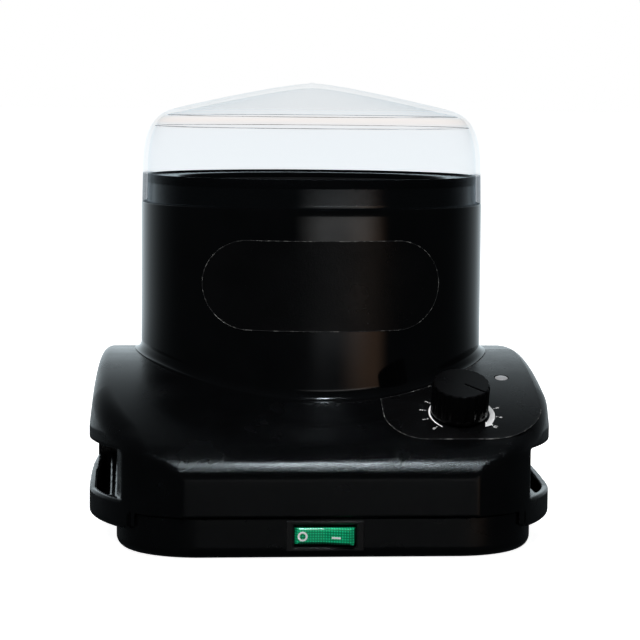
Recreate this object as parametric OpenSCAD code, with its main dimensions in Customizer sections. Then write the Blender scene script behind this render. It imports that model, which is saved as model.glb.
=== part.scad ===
// Wax warmer: a heated well in an insulated tower, on a base with side grips.
// Origin: centre of the footprint, on the surface it stands on. Front faces -Y.

/* [Base] */
// Half width of the housing at its widest
base_half_w = 93; // [91:0.5:95]
// Front face of the housing, distance in front of the origin
base_front = 100; // [99:0.5:100.5]
// Rear face of the housing, distance behind the origin
base_rear = 103; // [101:0.5:103]
// Height of the ridge of the arched deck
ridge_z = 70.7; // [69.7:0.1:71.7]
// Radius of the arched deck
arch_r = 200; // [190:5:210]
// Wall of the housing
wall = 2.6; // [2.2:0.1:2.8]
// Half width between the two grip recesses
grip_half_w = 82; // [81:0.5:82.5]
// Floor of the grip recess
grip_z0 = 21; // [20.6:0.2:23]
// Top of the grip recess
grip_z1 = 40.5; // [40:0.1:42]
// Rear end of the grip recess
grip_end = 18; // [10:1:25]
// Height of the joint between tray and housing
seam_z = 16.4; // [16:0.1:16.6]

/* [Tower] */
// Outer radius of the tower
tower_r = 72; // [72:0.1:72.4]
// Height of the step that the lid stands on
step_z = 133.1; // [132:0.1:134]
// Height of the top of the rim
rim_z = 143.8; // [143.8:0.1:144.2]
// Distance of the tower axis behind the origin
tower_y = 11.5; // [11:0.5:12]

/* [Well] */
// Inner radius of the heating well
well_r = 56; // [54:0.5:56]
// Height of the floor of the well
well_z = 39.4; // [39.4:0.1:42]

/* [Lid] */
// Height of the lid's peak
lid_z = 183.1; // [182:0.1:184]
// Wall of the lid
lid_wall = 2; // [1.6:0.1:2.1]

/* [Controls] */
// Radius of the knob
knob_r = 11.4; // [10.5:0.1:11.6]
// Height of the knob
knob_h = 13; // [11:0.5:14]
// Radius of the thermostat spindle
spindle_r = 3; // [2.5:0.1:3]
// Tilt of the rocker either side of its middle, in degrees
rocker_tilt = 8; // [6:1:8]

/* [Hidden] */
e = 0.01;
ay = tower_y;
az = ridge_z - arch_r;          // centre line of the arch
band_z = 34.8;                  // lower edge of the front bevel
lip_z = 10.5;                   // underside of the side lips
well_floor_under = well_z - 2;  // underside of the well
tray_hw = grip_half_w;
tray_front = base_front - 0.5;
tray_r = 32;                    // corners of the tray
tray_rear = base_rear - 1;
switch_x = -2;
switch_z = 9.6;
pivot_y = -97.7;                // rocker pivot
inlet_x = -36;
inlet_z = 31.5;
// the point of the deck above y, and the deck's slope there
function deck_z(y) = az + sqrt(arch_r * arch_r - (y - ay) * (y - ay));
function deck_s(y) = asin(-(y - ay) / arch_r);
dial_x = 53.2;
dial_y = -70.3;
lamp_x = 74.5;
lamp_y = -40.7;
earth_x = -40;
earth_y = 40;
boss_xy = [[-69, -83], [69, -83], [-70, 46], [70, 46], [-56, 88], [56, 88]];
foot_xy = [[-60, -72], [60, -72], [-60, 76], [60, 76]];
stand_a = [90, 210, 330];
ear_a = [45, 135, 225, 315];

// cubic curve, its direction, and the point off to its right
function bz(p, t) = pow(1 - t, 3) * p[0] + 3 * t * pow(1 - t, 2) * p[1]
  + 3 * t * t * (1 - t) * p[2] + t * t * t * p[3];
function bd(p, t) = 3 * pow(1 - t, 2) * (p[1] - p[0]) + 6 * t * (1 - t) * (p[2] - p[1])
  + 3 * t * t * (p[3] - p[2]);
function bo(p, t, o) = let (d = bd(p, t), n = norm(d)) bz(p, t) + o * [d[1] / n, -d[0] / n];
// the plan of the housing, right half from front to rear
front_c = [[57, -base_front], [72, -base_front + 2.5], [base_half_w - 1.5, -72], [base_half_w, -48]];
side_c = [[base_half_w, -48], [base_half_w + 0.5, -10], [base_half_w - 4, 40], [base_half_w - 8, 70]];
rear_c = [[base_half_w - 8, 70], [base_half_w - 12, 96], [76, base_rear], [56, base_rear]];
function half_plan(o) = concat(
  [for (i = [0:10]) bo(front_c, i / 10, o)],
  [for (i = [1:5]) bo(side_c, i / 5, o)],
  [for (i = [1:8]) bo(rear_c, i / 8, o)]);
function plan(o) = let (h = half_plan(o), n = len(h))
  concat(h, [for (i = [n - 1:-1:0]) [-h[i][0], h[i][1]]]);
// rounded rectangle as points
function rr(x, y0, y1, r, n = 6) = concat(
  [for (i = [0:n]) [x - r + r * cos(-90 + i * 90 / n), y0 + r + r * sin(-90 + i * 90 / n)]],
  [for (i = [0:n]) [x - r + r * cos(i * 90 / n), y1 - r + r * sin(i * 90 / n)]],
  [for (i = [0:n]) [-x + r + r * cos(90 + i * 90 / n), y1 - r + r * sin(90 + i * 90 / n)]],
  [for (i = [0:n]) [-x + r + r * cos(180 + i * 90 / n), y0 + r + r * sin(180 + i * 90 / n)]]);

module slab(pts, z0, z1) translate([0, 0, z0]) linear_extrude(z1 - z0) polygon(pts);
module box(a, b) translate(a) cube(b - a);
module at_tower(z = 0) translate([0, ay, z]) children();
module ring(r0, r1, z0, z1, f = 96) rotate_extrude($fn = f)
  polygon([[r0, z0], [r1, z0], [r1, z1], [r0, z1]]);
module on_deck(x, y) translate([x, y, deck_z(y)]) rotate([deck_s(y), 0, 0]) children();
// side view of the housing between x = -100 and 100, pulled in by w
module profile(w, z0) translate([-100, 0, 0]) rotate([90, 0, 90]) linear_extrude(200)
  polygon([[-base_front + w, z0], [base_rear - w, z0], [base_rear - w, 42 - 0.35 * w],
    [base_rear - 10 - w, 56 - 0.35 * w], [base_rear - 10 - w, 90],
    [-base_front + 20 + w, 90], [-base_front + 20 + w, band_z + 21.3 - 0.41 * w],
    [-base_front + w, band_z - 0.41 * w]]);
module arch(w) translate([-100, ay, az]) rotate([0, 90, 0]) cylinder(r = arch_r - w, h = 200, $fn = 128);
module under_deck(w, z0) intersection() {
  slab(plan(-w), z0, 80);
  arch(w);
  profile(w, z0 - 1);
}
// a round lead along the points p, as eight-sided rings
function unit(v) = v / norm(v);
function lead_dir(p, i) = let (n = len(p) - 1) unit(
  (i > 0 ? unit(p[i] - p[i - 1]) : [0, 0, 0]) + (i < n ? unit(p[i + 1] - p[i]) : [0, 0, 0]));
function lead_ring(p, i, r) = let (t = lead_dir(p, i), u = unit(cross(t, [0.37, 0.21, 1])), v = cross(t, u))
  [for (k = [0:7]) p[i] + r * (cos(k * 45) * u + sin(k * 45) * v)];
module wire(p, r) let (n = len(p) - 1) polyhedron(
  points = [for (i = [0:n]) each lead_ring(p, i, r)],
  faces = concat([[for (k = [0:7]) k]], [[for (k = [7:-1:0]) n * 8 + k]],
    [for (i = [0:n - 1]) for (k = [0:7]) let (a = i * 8 + k, b = i * 8 + (k + 1) % 8) [a, a + 8, b + 8]],
    [for (i = [0:n - 1]) for (k = [0:7]) let (a = i * 8 + k, b = i * 8 + (k + 1) % 8) [a, b + 8, b]]));
module hexagon(af, h) cylinder(r = af / 2 / cos(30), h = h, $fn = 6);

module lower_tray() color([0.035, 0.036, 0.038]) difference() {
  union() {
    difference() {
      union() {
        slab(rr(tray_hw, -tray_front, tray_rear, tray_r), 3.8, seam_z);
        slab(rr(tray_hw - 0.7, -tray_front + 0.7, tray_rear - 0.7, tray_r - 0.7), 2, 3.8);
        slab(rr(tray_hw - 1.9, -tray_front + 1.9, tray_rear - 1.9, tray_r - 1.9), 1, 2);
        slab(rr(tray_hw - 3.2, -tray_front + 3.2, tray_rear - 3.2, tray_r - 3.2), 0.5, 1);
      }
      slab(rr(tray_hw - 2.5, -tray_front + 2.5, tray_rear - 2.5, tray_r - 2.5), 3.5, 20);
    }
    for (p = boss_xy) translate([p[0], p[1], 3]) cylinder(r = 4.4, h = 11.1, $fn = 40);
    for (p = foot_xy) translate([p[0], p[1], 3]) cylinder(r = 8, h = 2, $fn = 48);
    for (a = stand_a) at_tower(3) rotate(a) translate([50, 0, 0]) cylinder(r = 6, h = 2, $fn = 40);
  }
  for (p = boss_xy) {
    translate([p[0], p[1], 0]) cylinder(r = 1.7, h = 20, $fn = 32);
    translate([p[0], p[1], 0]) cylinder(r = 3.2, h = 4, $fn = 40);
  }
  for (p = foot_xy) translate([p[0], p[1], 0]) cylinder(r = 6, h = 3, $fn = 48);
  for (a = stand_a) at_tower(0) rotate(a) translate([50, 0, 0]) {
    cylinder(r = 2.1, h = 10, $fn = 32);
    cylinder(r = 4.2, h = 3.2, $fn = 40);
  }
  // opening for the rocker switch
  box([switch_x - 13.9, -tray_front - 1, switch_z - 4.9], [switch_x + 13.9, -tray_front + 4, switch_z + 4.9]);
  // air slots in the floor
  for (i = [-4:4]) box([i * 7 - 1.3, 26, 0], [i * 7 + 1.3, 50, 8]);
  for (i = [-4:4]) box([i * 7 - 1.3, -42, 0], [i * 7 + 1.3, -22, 8]);
}

module side_lips() intersection() {
  slab(plan(0), lip_z, seam_z + 0.7);
  union() {
    box([tray_hw + 0.4, -90, 0], [110, 84, 30]);
    box([-110, -90, 0], [-tray_hw - 0.4, 84, 30]);
  }
}
module housing_void() {
  difference() {
    under_deck(wall, seam_z + 0.3);
    for (s = [0, 1]) mirror([s, 0, 0])
      box([grip_half_w - wall, -110, grip_z0 - wall], [110, grip_end + wall, grip_z1 + wall]);
  }
  for (s = [0, 1]) mirror([s, 0, 0]) intersection() {
    slab(plan(-wall), lip_z + wall, seam_z + 0.7);
    box([tray_hw + 3, -84, 0], [110, 78, 30]);
  }
}
module upper_housing() color([0.03, 0.031, 0.033]) difference() {
  union() {
    difference() {
      union() {
        under_deck(0, seam_z + 0.4);
        side_lips();
      }
      housing_void();
    }
    // screw pillars
    intersection() {
      for (p = boss_xy) translate([p[0], p[1], 14.1]) cylinder(r = 4, h = 60, $fn = 40);
      under_deck(1, 5);
    }
    // seats for the ears of the tower
    intersection() {
      for (a = ear_a) at_tower(46.5) rotate(a) translate([79, 0, 0]) cylinder(r = 4, h = 40, $fn = 40);
      under_deck(1, 5);
    }
    // pad behind the mains inlet
    box([inlet_x - 27, base_rear - 7, 18], [inlet_x + 27, base_rear - 2, 43]);
  }
  // grips
  for (s = [0, 1]) mirror([s, 0, 0]) box([grip_half_w, -110, grip_z0], [110, grip_end, grip_z1]);
  // tower
  at_tower(40) cylinder(r = tower_r + 0.2, h = 60, $fn = 128);
  for (a = ear_a) at_tower(40) rotate(a) translate([79, 0, 0]) cylinder(r = 1.5, h = 16, $fn = 32);
  for (p = boss_xy) translate([p[0], p[1], 10]) cylinder(r = 1.5, h = 16, $fn = 32);
  // controls
  on_deck(dial_x, dial_y) translate([0, 0, -10]) cylinder(r = 5.2, h = 20, $fn = 48);
  on_deck(lamp_x, lamp_y) translate([0, 0, -10]) cylinder(r = 2.7, h = 20, $fn = 40);
  // mains inlet, in a pocket 3 mm deep
  box([inlet_x - 25.5, base_rear - 3, inlet_z - 12], [inlet_x + 25.5, base_rear + 2, inlet_z + 12]);
  box([inlet_x - 14, base_rear - 12, inlet_z - 10.2], [inlet_x + 14, base_rear + 2, inlet_z + 10.2]);
  for (i = [-20, 20]) translate([inlet_x + i, base_rear + 1, inlet_z]) rotate([90, 0, 0]) cylinder(r = 1.5, h = 12, $fn = 32);
  // rear air slots
  for (i = [0:6]) box([12 + i * 6, base_rear - 6, 22], [15 + i * 6, base_rear + 2, 38]);
}

module rubber_feet() color([0.05, 0.05, 0.05])
  for (p = foot_xy) translate([p[0], p[1], 0]) cylinder(r = 5.9, h = 3, $fn = 48);

module pan_screw(r, h, rh, hh) {
  cylinder(r = r, h = h, $fn = 32);
  translate([0, 0, -hh]) difference() {
    cylinder(r = rh, h = hh, $fn = 40);
    for (a = [0, 90]) rotate(a) translate([-rh * 0.6, -0.4, -e]) cube([rh * 1.2, 0.8, hh * 0.5]);
  }
}
module tray_screws() color("silver")
  for (p = boss_xy) translate([p[0], p[1], 4]) pan_screw(1.5, 21, 3, 2.2);

module tower_shell() color([0.03, 0.031, 0.033]) at_tower() difference() {
  union() {
    rotate_extrude($fn = 128) polygon([
      [tower_r - 2.6, 44], [tower_r, 44], [tower_r, step_z], [tower_r - 2.7, step_z],
      [tower_r - 2.7, rim_z - 2.2], [tower_r - 5.1, rim_z - 2.2], [tower_r - 5.1, rim_z - 3.2],
      [tower_r - 9, rim_z - 3.2], [tower_r - 9, rim_z - 5.2], [tower_r - 5.1, rim_z - 7.2],
      [tower_r - 5.1, step_z - 3], [tower_r - 2.6, step_z - 5]]);
    for (a = ear_a) rotate(a) translate([0, 0, 44]) {
      translate([tower_r - 2, -4, 0]) cube([9, 8, 2.5]);
      translate([79, 0, 0]) cylinder(r = 4, h = 2.5, $fn = 40);
    }
    // flared foot that follows the deck
    intersection() {
      rotate_extrude($fn = 128) polygon([[tower_r - 1, ridge_z - 20], [tower_r + 2.6, ridge_z - 20],
        [tower_r + 2.6, ridge_z + 6], [tower_r - 1, ridge_z + 6]]);
      difference() {
        translate([-100, 0, az]) rotate([0, 90, 0]) cylinder(r = arch_r + 2.6, h = 200, $fn = 128);
        translate([-101, 0, az]) rotate([0, 90, 0]) cylinder(r = arch_r, h = 202, $fn = 128);
      }
    }
  }
  for (a = ear_a) rotate(a) translate([79, 0, 40]) cylinder(r = 1.7, h = 10, $fn = 32);
}
module tower_screws() color("silver")
  at_tower() for (a = ear_a) rotate(a) translate([79, 0, 44]) pan_screw(1.5, 9.5, 2.8, 1.8);

module tower_label() color([0.06, 0.06, 0.062]) at_tower() intersection() {
  rotate([0, 0, -90 - 42]) rotate_extrude(angle = 84, $fn = 128)
    polygon([[tower_r, 84], [tower_r + 0.2, 84], [tower_r + 0.2, 121], [tower_r, 121]]);
  translate([0, 0, 102.5]) rotate([90, 0, 0]) linear_extrude(100) union() {
    square([60, 36], center = true);
    for (s = [-1, 1]) translate([s * 30, 0]) circle(r = 18, $fn = 64);
  }
}

module rim_ring() color([0.03, 0.03, 0.032]) at_tower() rotate_extrude($fn = 128) polygon([
  [well_r + 1, rim_z - 2.2], [tower_r - 2.7, rim_z - 2.2], [tower_r - 2.7, rim_z - 0.5],
  [tower_r - 3.4, rim_z], [well_r + 1.6, rim_z], [well_r + 1, rim_z - 0.6]]);

module heating_well() color([0.07, 0.07, 0.075]) at_tower() {
  rotate_extrude($fn = 128) polygon([
    [0, well_floor_under], [well_r - 1, well_floor_under], [well_r + 1.6, well_floor_under + 2.6],
    [well_r + 1.6, rim_z - 3.2], [tower_r - 5.3, rim_z - 3.2], [tower_r - 5.3, rim_z - 2.2],
    [well_r, rim_z - 2.2], [well_r, well_z + 2], [well_r - 2, well_z], [0, well_z]]);
  translate([0, 0, 20]) cylinder(r = 2.5, h = well_floor_under - 20 + e, $fn = 32);
}
module well_nut() color("silver") at_tower(24.8) difference() {
  hexagon(8, 4);
  translate([0, 0, -1]) cylinder(r = 2.5, h = 6, $fn = 32);
}
module ceramic_spacer() color("ivory") at_tower() ring(3, 9, 29.8, well_floor_under);
module heater_band() color([0.55, 0.5, 0.42]) at_tower() {
  ring(well_r + 1.6, well_r + 4, 45, 92, 128);
  for (a = [-50, -62]) rotate(a) box([well_r + 3.8, -2.5, 46], [well_r + 8, 2.5, 47]);
}
module heater_clamp() color("silver") at_tower() {
  rotate([0, 0, 100]) rotate_extrude(angle = 352, $fn = 128)
    polygon([[well_r + 4, 64], [well_r + 4.5, 64], [well_r + 4.5, 74], [well_r + 4, 74]]);
  for (s = [0, 1]) rotate(s == 0 ? 100 : 92) mirror([0, 1 - s, 0]) difference() {
    box([well_r + 4.2, -1, 63.5], [well_r + 9.4, -0.2, 74.5]);
    translate([well_r + 6.8, 2, 69]) rotate([90, 0, 0]) cylinder(r = 1.8, h = 5, $fn = 24);
  }
}
module clamp_screw() color("silver") at_tower() rotate(96)
  translate([well_r + 6.8, 0, 69]) rotate([90, 0, 0]) {
    translate([0, 0, -7.6]) cylinder(r = 1.5, h = 15, $fn = 24);
    translate([0, 0, 5.6]) cylinder(r = 2.4, h = 1.8, $fn = 24);
  }
module insulation_sleeve() color([0.85, 0.82, 0.72]) at_tower() difference() {
  ring(well_r + 5, tower_r - 5.6, 52, 134, 96);
  rotate(96) box([well_r + 3, -11, 61], [tower_r, 11, 77]);
}
module heat_shield() color("silver") at_tower(29) difference() {
  cylinder(r = 60, h = 0.8, $fn = 96);
  cylinder(r = 2.7, h = 3, center = true, $fn = 32);
  for (a = stand_a) rotate(a) translate([50, 0, 0]) cylinder(r = 1.6, h = 3, center = true, $fn = 24);
  translate([earth_x, earth_y - ay, 0]) cylinder(r = 1.6, h = 3, center = true, $fn = 24);
}
module shield_standoffs() color("silver") for (a = stand_a) at_tower(5) rotate(a)
  translate([50, 0, 0]) difference() {
    hexagon(7, 24);
    translate([0, 0, -1]) cylinder(r = 1.5, h = 30, $fn = 24);
  }
module shield_screws() color("silver") for (a = stand_a) at_tower() rotate(a) translate([50, 0, 0]) {
  translate([0, 0, 3.2]) pan_screw(1.5, 8, 3.4, 1.8);
  translate([0, 0, 29.8]) mirror([0, 0, 1]) pan_screw(1.5, 8, 2.8, 1.6);
}
module thermal_fuse() color([0.9, 0.88, 0.8]) {
  translate([-34, 30, well_floor_under - 2.2]) rotate([0, 90, 0]) cylinder(r = 2.2, h = 14, $fn = 32);
  wire([[-34.5, 30, well_floor_under - 2.2], [-40, 30, 34], [-45, 27, 33.6]], 0.5);
  wire([[-19.5, 30, well_floor_under - 2.2], [-14, 30, 34], [-12, 36, 33.6]], 0.5);
}
module thermostat_body() color([0.75, 0.75, 0.72]) on_deck(dial_x, dial_y) difference() {
  union() {
    translate([0, 0, -25]) cylinder(r = 15, h = 21.4, $fn = 64);
    translate([0, 0, -5]) cylinder(r = 5, h = 5.6, $fn = 48);
    for (i = [-6, 6]) box([i - 2.4, 3, -29], [i + 2.4, 3.8, -24.9]);
  }
  translate([0, 0, -16]) cylinder(r = spindle_r + 0.05, h = 20, $fn = 48);
}
module thermostat_nut() color("silver") on_deck(dial_x, dial_y) translate([0, 0, -3.5]) difference() {
  cylinder(r = 7.5, h = 0.7, $fn = 48);
  translate([0, 0, -1]) cylinder(r = 5, h = 3, $fn = 48);
}
module thermostat_bulb() color([0.8, 0.5, 0.3]) {
  translate([-12, -8, well_floor_under - 2.4]) rotate([0, 90, 0]) cylinder(r = 2.4, h = 52, $fn = 32);
  wire([[40, -8, 35], [52, -16, 35], [60, -26, 34], [60, -42, 28], [56, -52, 22], [55, -59, 20], [54.5, -62.2, 24.8]], 0.7);
}
module thermostat_spindle() color("silver") on_deck(dial_x, dial_y)
  difference() {
    translate([0, 0, -15.5]) cylinder(r = spindle_r, h = 24.5, $fn = 48);
    translate([-4, spindle_r - 0.8, 3]) cube([8, 4, 8]);
  }
module dial_knob() color([0.03, 0.03, 0.032]) on_deck(dial_x, dial_y) difference() {
  translate([0, 0, 1]) cylinder(r = knob_r, h = knob_h, $fn = 96);
  difference() {
    translate([0, 0, 0]) cylinder(r = spindle_r, h = 9, $fn = 48);
    translate([-4, spindle_r - 0.8, 3]) cube([8, 4, 8]);
  }
  translate([0, 0, 0]) difference() {
    cylinder(r = knob_r - 1.6, h = 3.5, $fn = 64);
    cylinder(r = 5.6, h = 10, center = true, $fn = 48);
  }
  cylinder(r = 5.1, h = 1.4, $fn = 48);
  for (i = [0:17]) rotate(i * 20) translate([knob_r + 0.9, 0, 2.5]) cylinder(r = 1.4, h = 20, $fn = 16);
  rotate(-40) translate([1.5, -0.4, knob_h + 0.5]) cube([20, 0.8, 2]);
}
module control_label() color([0.05, 0.05, 0.052]) intersection() {
  difference() { arch(-0.25); arch(0); }
  difference() {
    slab(concat(
      [for (i = [0:8]) [39 - 16 * sin(i * 11.25), -70.5 - 16 * cos(i * 11.25)]],
      [[23, -50], [60, 0], [74, 5], [83, 5]],
      [for (i = [0:8]) [64 + 23 * cos(i * 11.25), -63.5 - 23 * sin(i * 11.25)]]), 30, 90);
    at_tower(0) cylinder(r = tower_r + 3.2, h = 100, $fn = 128);
    on_deck(dial_x, dial_y) cylinder(r = 5.2, h = 20, center = true, $fn = 48);
    on_deck(lamp_x, lamp_y) cylinder(r = 2.9, h = 20, center = true, $fn = 40);
  }
}
module pilot_lamp() color([0.45, 0.45, 0.46]) on_deck(lamp_x, lamp_y) {
  translate([0, 0, -14]) cylinder(r = 2.6, h = 14.3, $fn = 40);
  for (i = [-1, 1]) translate([i * 1.3, 0, -17]) cylinder(r = 0.4, h = 3 + e, $fn = 16);
}
module pilot_clip() color([0.2, 0.2, 0.2]) on_deck(lamp_x, lamp_y) translate([0, 0, -5]) difference() {
  cylinder(r = 3.9, h = 2, $fn = 40);
  translate([0, 0, -1]) cylinder(r = 2.6, h = 5, $fn = 40);
}

module rocker_plan() intersection() {
  circle(r = 11.7, $fn = 96);
  polygon([[-13, 3.2], [-13, -2.3 - 13 * tan(rocker_tilt)], [0, -2.3], [13, -2.3 - 13 * tan(rocker_tilt)], [13, 3.2]]);
}
module rocker() color([0, 0.55, 0.33]) translate([switch_x, pivot_y, switch_z]) rotate(-rocker_tilt) {
  translate([0, 0, -2.9]) linear_extrude(5.8) rocker_plan();
  translate([0, 0, -4.9]) cylinder(r = 1.2, h = 9.8, $fn = 32);
}
module switch_body() color([0.04, 0.04, 0.042]) translate([switch_x, 0, switch_z]) {
  difference() {
    union() {
      box([-15, -base_front - 0.2, -5.9], [15, -tray_front, 5.9]);
      box([-13.7, -tray_front - 0.5, -5.7 + 0.9], [13.7, -78, 5.7 - 0.9]);
    }
    box([-12.1, -110, -4.3], [12.1, pivot_y + 5.6, 4.3]);
    translate([0, pivot_y, -4.95]) cylinder(r = 1.25, h = 9.9, $fn = 32);
    // latch notches that hold the body in the tray wall
    for (s = [-1, 1]) box([s * 13.9 - 0.4, -94, -3], [s * 13.9 + 0.4, -84, 3]);
  }
  for (i = [-8, 0, 8]) box([i - 0.4, -78 - e, -2.4], [i + 0.4, -70, 2.4]);
}

module inlet_socket() color([0.05, 0.05, 0.05]) translate([inlet_x, base_rear, inlet_z]) difference() {
  union() {
    box([-25, -3, -11.5], [25, -0.5, 11.5]);
    box([-13.7, -25, -10], [13.7, -2.9, 10]);
  }
  box([-12, -17, -8], [12, 1, 8]);
  for (i = [-20, 20]) translate([i, 1, 0]) rotate([90, 0, 0]) {
    cylinder(r = 1.7, h = 10, $fn = 32);
    cylinder(r = 3.2, h = 2.4, $fn = 40);
  }
  for (i = [-7, 0, 7]) box([i - 1, -30, (i == 0 ? 2.5 : -3.5) - 2], [i + 1, -16, (i == 0 ? 2.5 : -3.5) + 2]);
}
module inlet_pins() color("silver") translate([inlet_x, base_rear, inlet_z])
  for (i = [-7, 0, 7]) box([i - 1, -31, (i == 0 ? 2.5 : -3.5) - 2], [i + 1, -6.5, (i == 0 ? 2.5 : -3.5) + 2]);
module inlet_screws() color("silver") translate([inlet_x, base_rear, inlet_z])
  for (i = [-20, 20]) translate([i, -1.4, 0]) rotate([90, 0, 0]) pan_screw(1.5, 6.4, 3, 0.8);

module terminal_block() color([0.9, 0.9, 0.86]) difference() {
  box([-56, 40, 3.5], [-16, 56, 17]);
  for (i = [0:3]) {
    translate([-51 + i * 10, 30, 9]) rotate([-90, 0, 0]) cylinder(r = 1.8, h = 40, $fn = 24);
    for (y = [44, 52]) translate([-51 + i * 10, y, 12]) cylinder(r = 1.5, h = 10, $fn = 24);
  }
}
module terminal_screws() color("silver")
  for (i = [0:3]) for (y = [44, 52]) translate([-51 + i * 10, y, 12.2]) cylinder(r = 1.5, h = 3.6, $fn = 24);
module mains_wires() color([0.35, 0.2, 0.1]) {
  wire([[-43, 72, 28], [-43, 69, 28], [-45, 65, 25], [-51, 62, 12], [-51, 57, 9], [-51, 54, 9]], 1.1);
  wire([[-29, 72, 28], [-29, 69, 28], [-29, 66, 25], [-31, 62, 12], [-31, 57, 9], [-31, 54, 9]], 1.1);
  wire([[-51, 42, 9], [-51, 34, 8], [-34, 0, 7], [-26, -50, 7], [-10, -64, 9.6], [-10, -70, 9.6]], 1.1);
  wire([[-2, -70, 9.6], [-2, -64, 9.6], [-31, 30, 8], [-31, 42, 9]], 1.1);
}
module heater_wires() color([0.7, 0.1, 0.08]) {
  wire([[6, -70, 9.6], [6, -64, 9.6], [30, -52, 10], [48, -50, 14], [48, -55.5, 24.2]], 1.1);
  wire([[60, -55.5, 24.2], [62, -48, 20], [58, -43, 36], [41, -38.6, 43], [40.2, -36.9, 45], [40.2, -36.9, 46]], 1);
  wire([[-41, 42, 9], [-41, 34, 8], [-20, 0, 13], [8, -52, 20], [26, -52, 34], [29.3, -45, 43], [29.3, -43.4, 45], [29.3, -43.4, 46]], 1);
}
module lamp_wires() color([0.15, 0.3, 0.7]) for (i = [-1, 1])
  wire([[lamp_x + i * 1.3, lamp_y + 4.4, 47.2], [lamp_x + i * 1.3, lamp_y + 5, 40],
    [lamp_x - 4 + i * 1.6, lamp_y - 2, 22], [62 + i * 1.6, -52, 14], [30 + i * 1.6, -66, 6.4]], 0.7);
module earth_screw() color("silver") translate([earth_x, earth_y, 0]) {
  translate([0, 0, 29.8]) mirror([0, 0, 1]) pan_screw(1.5, 7, 2.8, 1.6);
  translate([0, 0, 26]) difference() {
    hexagon(5.5, 2.2);
    translate([0, 0, -1]) cylinder(r = 1.5, h = 6, $fn = 24);
  }
}
module earth_tag() color("silver") translate([earth_x, earth_y, 28.2]) difference() {
  union() {
    cylinder(r = 3.2, h = 0.8, $fn = 32);
    translate([-2, 2, 0]) cube([4, 7, 0.8]);
  }
  translate([0, 0, -1]) cylinder(r = 1.5, h = 6, $fn = 24);
}
module earth_wire() color([0.3, 0.6, 0.15])
  wire([[inlet_x, 72, 34], [inlet_x, 69.5, 34], [inlet_x, 67, 33], [-40, 60, 26.8], [-40, 50, 26.8], [-40, 47, 26.8]], 1.1);

module lid() color([0.9, 0.93, 0.95], 0.35) at_tower() {
  rotate_extrude($fn = 128) polygon([
    [0, lid_z], [4, lid_z - 0.15], [14.7, lid_z - 1.7], [23.8, lid_z - 3.4], [32.4, lid_z - 5.1],
    [40.8, lid_z - 6.9], [47.9, lid_z - 8.5], [55.3, lid_z - 10.2], [59.5, lid_z - 11.4],
    [62.9, lid_z - 12.8], [66, lid_z - 15.2], [68.4, lid_z - 18.8], [70.3, lid_z - 24.1],
    [71.2, lid_z - 30.2], [71.6, lid_z - 40], [71.8, step_z], [71.8 - lid_wall, step_z],
    [71.6 - lid_wall, lid_z - 40], [71.2 - lid_wall, lid_z - 30.2], [70.2 - lid_wall, lid_z - 24],
    [67.6 - lid_wall, lid_z - 17.2], [65.4 - lid_wall, lid_z - 14.8],
    [55.3, lid_z - 10.2 - lid_wall], [40.8, lid_z - 6.9 - lid_wall], [23.8, lid_z - 3.4 - lid_wall],
    [14.7, lid_z - 1.7 - lid_wall], [4, lid_z - lid_wall], [0, lid_z - lid_wall]]);
  translate([0, 0, lid_z - 1]) cylinder(r = 1.2, h = 1.6, $fn = 32);
}

lower_tray();
upper_housing();
rubber_feet();
tray_screws();
tower_shell();
tower_screws();
tower_label();
rim_ring();
heating_well();
well_nut();
ceramic_spacer();
heater_band();
heater_clamp();
clamp_screw();
insulation_sleeve();
heat_shield();
shield_standoffs();
shield_screws();
thermal_fuse();
thermostat_body();
thermostat_nut();
thermostat_bulb();
thermostat_spindle();
dial_knob();
control_label();
pilot_lamp();
pilot_clip();
switch_body();
rocker();
inlet_socket();
inlet_screws();
inlet_pins();
terminal_block();
terminal_screws();
mains_wires();
heater_wires();
lamp_wires();
earth_screw();
earth_tag();
earth_wire();
lid();
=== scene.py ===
import math

import bmesh
import bpy
import numpy as np
from mathutils import Matrix, Vector


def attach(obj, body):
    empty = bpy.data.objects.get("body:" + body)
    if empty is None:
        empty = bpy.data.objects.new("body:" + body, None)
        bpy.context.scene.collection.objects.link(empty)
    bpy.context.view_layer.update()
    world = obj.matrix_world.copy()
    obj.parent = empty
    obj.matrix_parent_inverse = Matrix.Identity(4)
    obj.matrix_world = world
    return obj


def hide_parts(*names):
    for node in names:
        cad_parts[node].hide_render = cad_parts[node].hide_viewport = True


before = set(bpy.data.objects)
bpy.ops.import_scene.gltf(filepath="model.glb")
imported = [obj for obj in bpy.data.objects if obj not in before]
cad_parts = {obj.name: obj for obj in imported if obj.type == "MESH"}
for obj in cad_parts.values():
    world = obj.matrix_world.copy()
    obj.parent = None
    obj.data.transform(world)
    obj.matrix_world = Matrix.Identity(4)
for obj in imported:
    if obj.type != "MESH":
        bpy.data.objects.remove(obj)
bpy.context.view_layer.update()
MM = 0.001
scene = bpy.context.scene

# ------------------------------------------------------------------ sizes, in millimetres
AY = 11.5                      # tower axis
ARCH_R, RIDGE = 200.0, 70.7
AZ = RIDGE - ARCH_R
TOWER_R, STEP_Z, RIM_Z = 72.0, 133.1, 143.8
LID_Z = 183.1
HALF_W, GRIP_X, GRIP_Z0, GRIP_Z1, GRIP_END = 93.0, 82.0, 21.0, 40.5, 18.0
SEAM = 16.4
DIAL = (53.2, -70.3)
LAMP = (74.5, -40.7)
SWITCH = (-2.0, 9.6)
INLET = (-36.0, 31.5)
BOSSES = [(-69, -83), (69, -83), (-70, 46), (70, 46), (-56, 88), (56, 88)]
FEET = [(-60, -72), (60, -72), (-60, 76), (60, 76)]


def deck_z(y):
    return AZ + np.sqrt(ARCH_R ** 2 - (y - AY) ** 2)


# ------------------------------------------------------------------ shapes as distances, in millimetres
def rmax(a, b, r):
    """Where both a and b are inside, with the edge between them rounded to r."""
    return np.minimum(np.maximum(a, b), -r) + np.hypot(np.maximum(a + r, 0), np.maximum(b + r, 0))


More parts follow.
